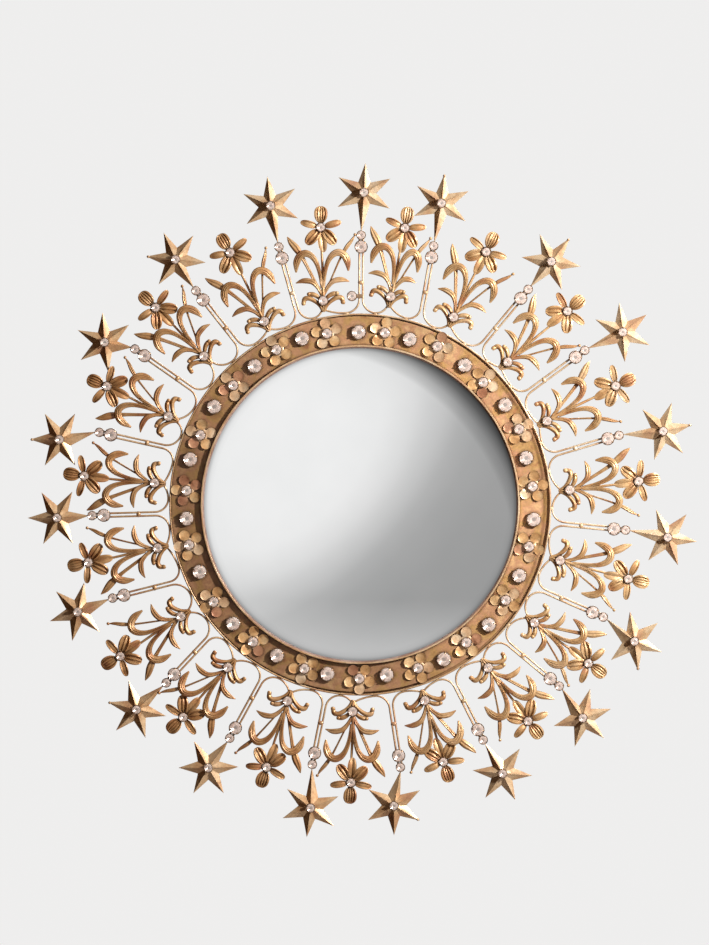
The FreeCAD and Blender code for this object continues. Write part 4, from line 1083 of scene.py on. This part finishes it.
def add_leaves(plant, turn, side, spread):
    """The leaves of one side of a sprig, with a bud or a bead of solder at the end of some."""
    for leaf, stations in enumerate(LEAF_SHARES):
        narrow = side > 0 and leaf == TALL_LEAF
        width_share = RIGHT_TALL_SHARE if narrow else 1
        plant.add(leaf_mesh(stations, side, spread, width_share, LEAF_RIBS[leaf]), turn)
        radius = BEAD_RADIUS if narrow else BUD_RADII.get(leaf)
        if radius:
            u, v, z, _, _ = stations[-1]
            tip = Vector((side * spread * u, v, z)) * SPRIG_SPAN + up(0.85)
            plant.add(drop(tip, (radius, radius, 1.05)), turn)


def make_sprig(index, sprig):
    """One sprig, drawn with its foot stone at the origin and its stalk along y, then set down."""
    plant = Piece(f"lily_sprig_{index:02d}_leaves")
    turn = set_down(sprig.foot, sprig.bearing)
    add_foot(plant, turn)
    add_stalk(plant, turn, sprig.span - 4.5, index)
    add_leaves(plant, turn, -1, 1)
    add_leaves(plant, turn, 1, BENT_IN.get(index, 1))
    lily = turn @ Matrix.Translation(Vector((0, sprig.span, 0)))
    for bearing, length, width, grooves, depth, rim in LILY_PETAL_SHARES:
        lift = hand.uniform(0.75, 1.0)
        shape = petal_mesh(bearing, length * LILY_RADIUS, width * LILY_RADIUS, grooves, depth, rim, lift)
        plant.add(shape, lily @ Matrix.Rotation(math.radians(hand.uniform(-5, 5)), 4, "Z"))
    plant.add(disc(LILY_RADIUS * 0.2, LILY_SHEET, 20), lily)
    plant.finish(GILT, "gilt_metal", f"lily_sprig_{index:02d}", sharp=45)


# Back

def make_screws():
    """Slotted round-headed screws, where the solids have theirs."""
    head = 2.4
    thick = 1.2
    shank = 1.25
    half_slot = 0.42
    profile = [(0, -3.6), (shank * 0.4, -3.4), (shank, -2.6), (shank, 0), (head, 0), (head, thick * 0.35),
               (head * 0.85, thick * 0.75), (head * 0.5, thick * 0.97), (0, thick)]
    points, faces = turned(profile, 24)
    for point in points:
        if abs(point.x) < half_slot and point.z > thick * 0.5:
            point.z -= 0.5
    flip = Matrix.Rotation(math.pi, 4, "Y")
    places = [set_down(spot(90 + step * 60, 130, PLATE_TOP), step * 37) for step in range(6)]
    places += [Matrix.Translation(Vector((side * 4.5, 105, 6))) @ flip for side in (-1, 1)]
    screws = Piece("slotted_screws")
    for place in places:
        screws.add((points, faces), place)
    screws.finish(STEEL, "hanger_steel", "wood_screws", sharp=30)


def dress_solids():
    """Materials of the solids that keep their own shape."""
    for name, material in (("back_board", make_wood_material()), ("back_plate", PLATE_METAL),
                           ("glass_packing", make_card_material()), ("hanger_plate", STEEL),
                           ("hanging_ring", STEEL)):
        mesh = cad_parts[name].data
        mesh.materials.clear()
        mesh.materials.append(material)


# Light, floor and camera

def make_world():
    """A pale room. Metal and glass show a broad pale screen in front of the mirror, a little to the
    left and above, with a pale floor under it; all round it the room goes from bright at its upper
    right corner to dark across from there."""
    nodes = Nodes(bpy.data.worlds.new("pale_room"), "Background", "Generated")

    def towards(*direction):
        return nodes.vector("DOT_PRODUCT", nodes.place, Vector(direction).normalized())

    to_corner = nodes.calculate("MULTIPLY_ADD", towards(0.62, -0.5, 0.52), 0.5, 0.5)
    corner = nodes.ramp(to_corner, ((0.30, 0.012), (0.50, 0.03), (0.68, 0.14), (0.80, 0.50), (0.92, 1.0)))
    across = nodes.calculate("ADD", towards(1, 0, -1), 0.164)
    along = nodes.calculate("MULTIPLY_ADD", towards(1, 0, 1), 0.6, 0.023)
    squares = nodes.calculate("MULTIPLY_ADD", across, across, nodes.calculate("MULTIPLY", along, along))
    screen = nodes.ramp(nodes.calculate("MULTIPLY", nodes.calculate("SQRT", squares), 2),
                        ((0.17, 0.90), (0.27, 0.86), (0.36, 0.745), (0.41, 0.64), (0.46, 0.56),
                         (0.51, 0.46), (0.58, 0.40), (0.70, 0.355), (0.82, 0.345)))
    height = nodes.calculate("ADD", towards(0, 0, 1), 0.5)
    floor = nodes.ramp(height, ((0.22, 0.185), (0.27, 0.08), (0.31, 0.0)))
    beyond = nodes.ramp(nodes.calculate("ARCCOSINE", towards(0, -1, 0)), ((0.32, 0.0), (0.42, 1.0)))
    shown = nodes.mix(beyond, nodes.mix(1.0, screen, floor, "ADD"), corner)
    path = nodes.add("LightPath", {}).outputs
    shows = nodes.calculate("MAXIMUM", path["Is Glossy Ray"], path["Is Transmission Ray"])
    room = nodes.mix(shows, ROOM_LIGHT, shown)
    seen = nodes.mix(path["Is Camera Ray"], room, BACKDROP)
    bpy.context.scene.world = nodes.finish({"Color": seen, "Strength": 1})


def add_lamp(name, place, size, power, colour):
    """A round lamp that faces the centre of the glass."""
    lamp = bpy.data.lights.new(name, "AREA")
    lamp.shape = "DISK"
    lamp.size = size
    lamp.energy = power
    lamp.color = colour
    thing = bpy.data.objects.new(name, lamp)
    thing.location = place
    thing.rotation_euler = (-Vector(place)).to_track_quat("-Z", "Y").to_euler()
    bpy.context.scene.collection.objects.link(thing)


def make_stage():
    """A round pale floor below the mirror, which glows a little where it is seen."""
    radius = 0.9
    level = -0.95
    sides = 96
    floor = bpy.data.meshes.new("pale_floor")
    floor.from_pydata([spot(side * 360 / sides, radius, level) for side in range(sides)], [],
                      [tuple(range(sides))])
    nodes = new_material("pale_floor")
    pale = nodes.ramp(nodes.noise(8, 3), ((0.3, (232, 231, 229)), (0.7, (238, 237, 236))))
    path = nodes.add("LightPath", {}).outputs
    seen = nodes.calculate("ADD", path["Is Camera Ray"], path["Is Glossy Ray"])
    seen = nodes.calculate("ADD", seen, path["Is Transmission Ray"])
    floor.materials.append(nodes.finish({
        "Base Color": nodes.mix(path["Is Diffuse Ray"], pale, linear((104, 78, 54))),
        "Roughness": 0.9,
        "Emission Color": pale,
        "Emission Strength": nodes.calculate("MULTIPLY", seen, 0.28),
    }))
    thing = bpy.data.objects.new("pale_floor", floor)
    bpy.context.scene.collection.objects.link(thing)


def make_camera():
    """Straight on from far away, at the height and side the photograph is taken from."""
    distance = 3.4
    sensor = 36
    view_height = PHOTO_HEIGHT * PIXEL_SIZE * MM
    camera = bpy.data.objects.new("camera", bpy.data.cameras.new("camera"))
    camera.location = (-4.3 * MM, -distance - DECK * MM, 24 * MM)
    camera.rotation_euler = (math.radians(90), 0, 0)
    camera.data.sensor_width = sensor
    camera.data.lens = sensor * distance / view_height
    camera.data.clip_end = 20
    bpy.context.scene.collection.objects.link(camera)
    bpy.context.scene.camera = camera


make_stems()
make_glass()
make_bezel()
make_band()
make_stones()
make_rosettes()
for number, ray in enumerate(rays, start=1):
    make_star(number, ray)
for number, sprig in enumerate(sprigs, start=1):
    make_sprig(number, sprig)
make_screws()
dress_solids()
make_world()
add_lamp("key", (0.806, -0.647, 0.376), 0.085, 19.4, (1, 0.97, 0.92))
add_lamp("fill", (-1.8, -2.4, 0.4), 1.2, 1.2, (1, 0.88, 0.76))
add_lamp("behind", (0.6, 2.2, 1.2), 1.2, 30, (1, 1, 1))
make_stage()
make_camera()

bpy.context.scene.view_settings.view_transform = "Standard"
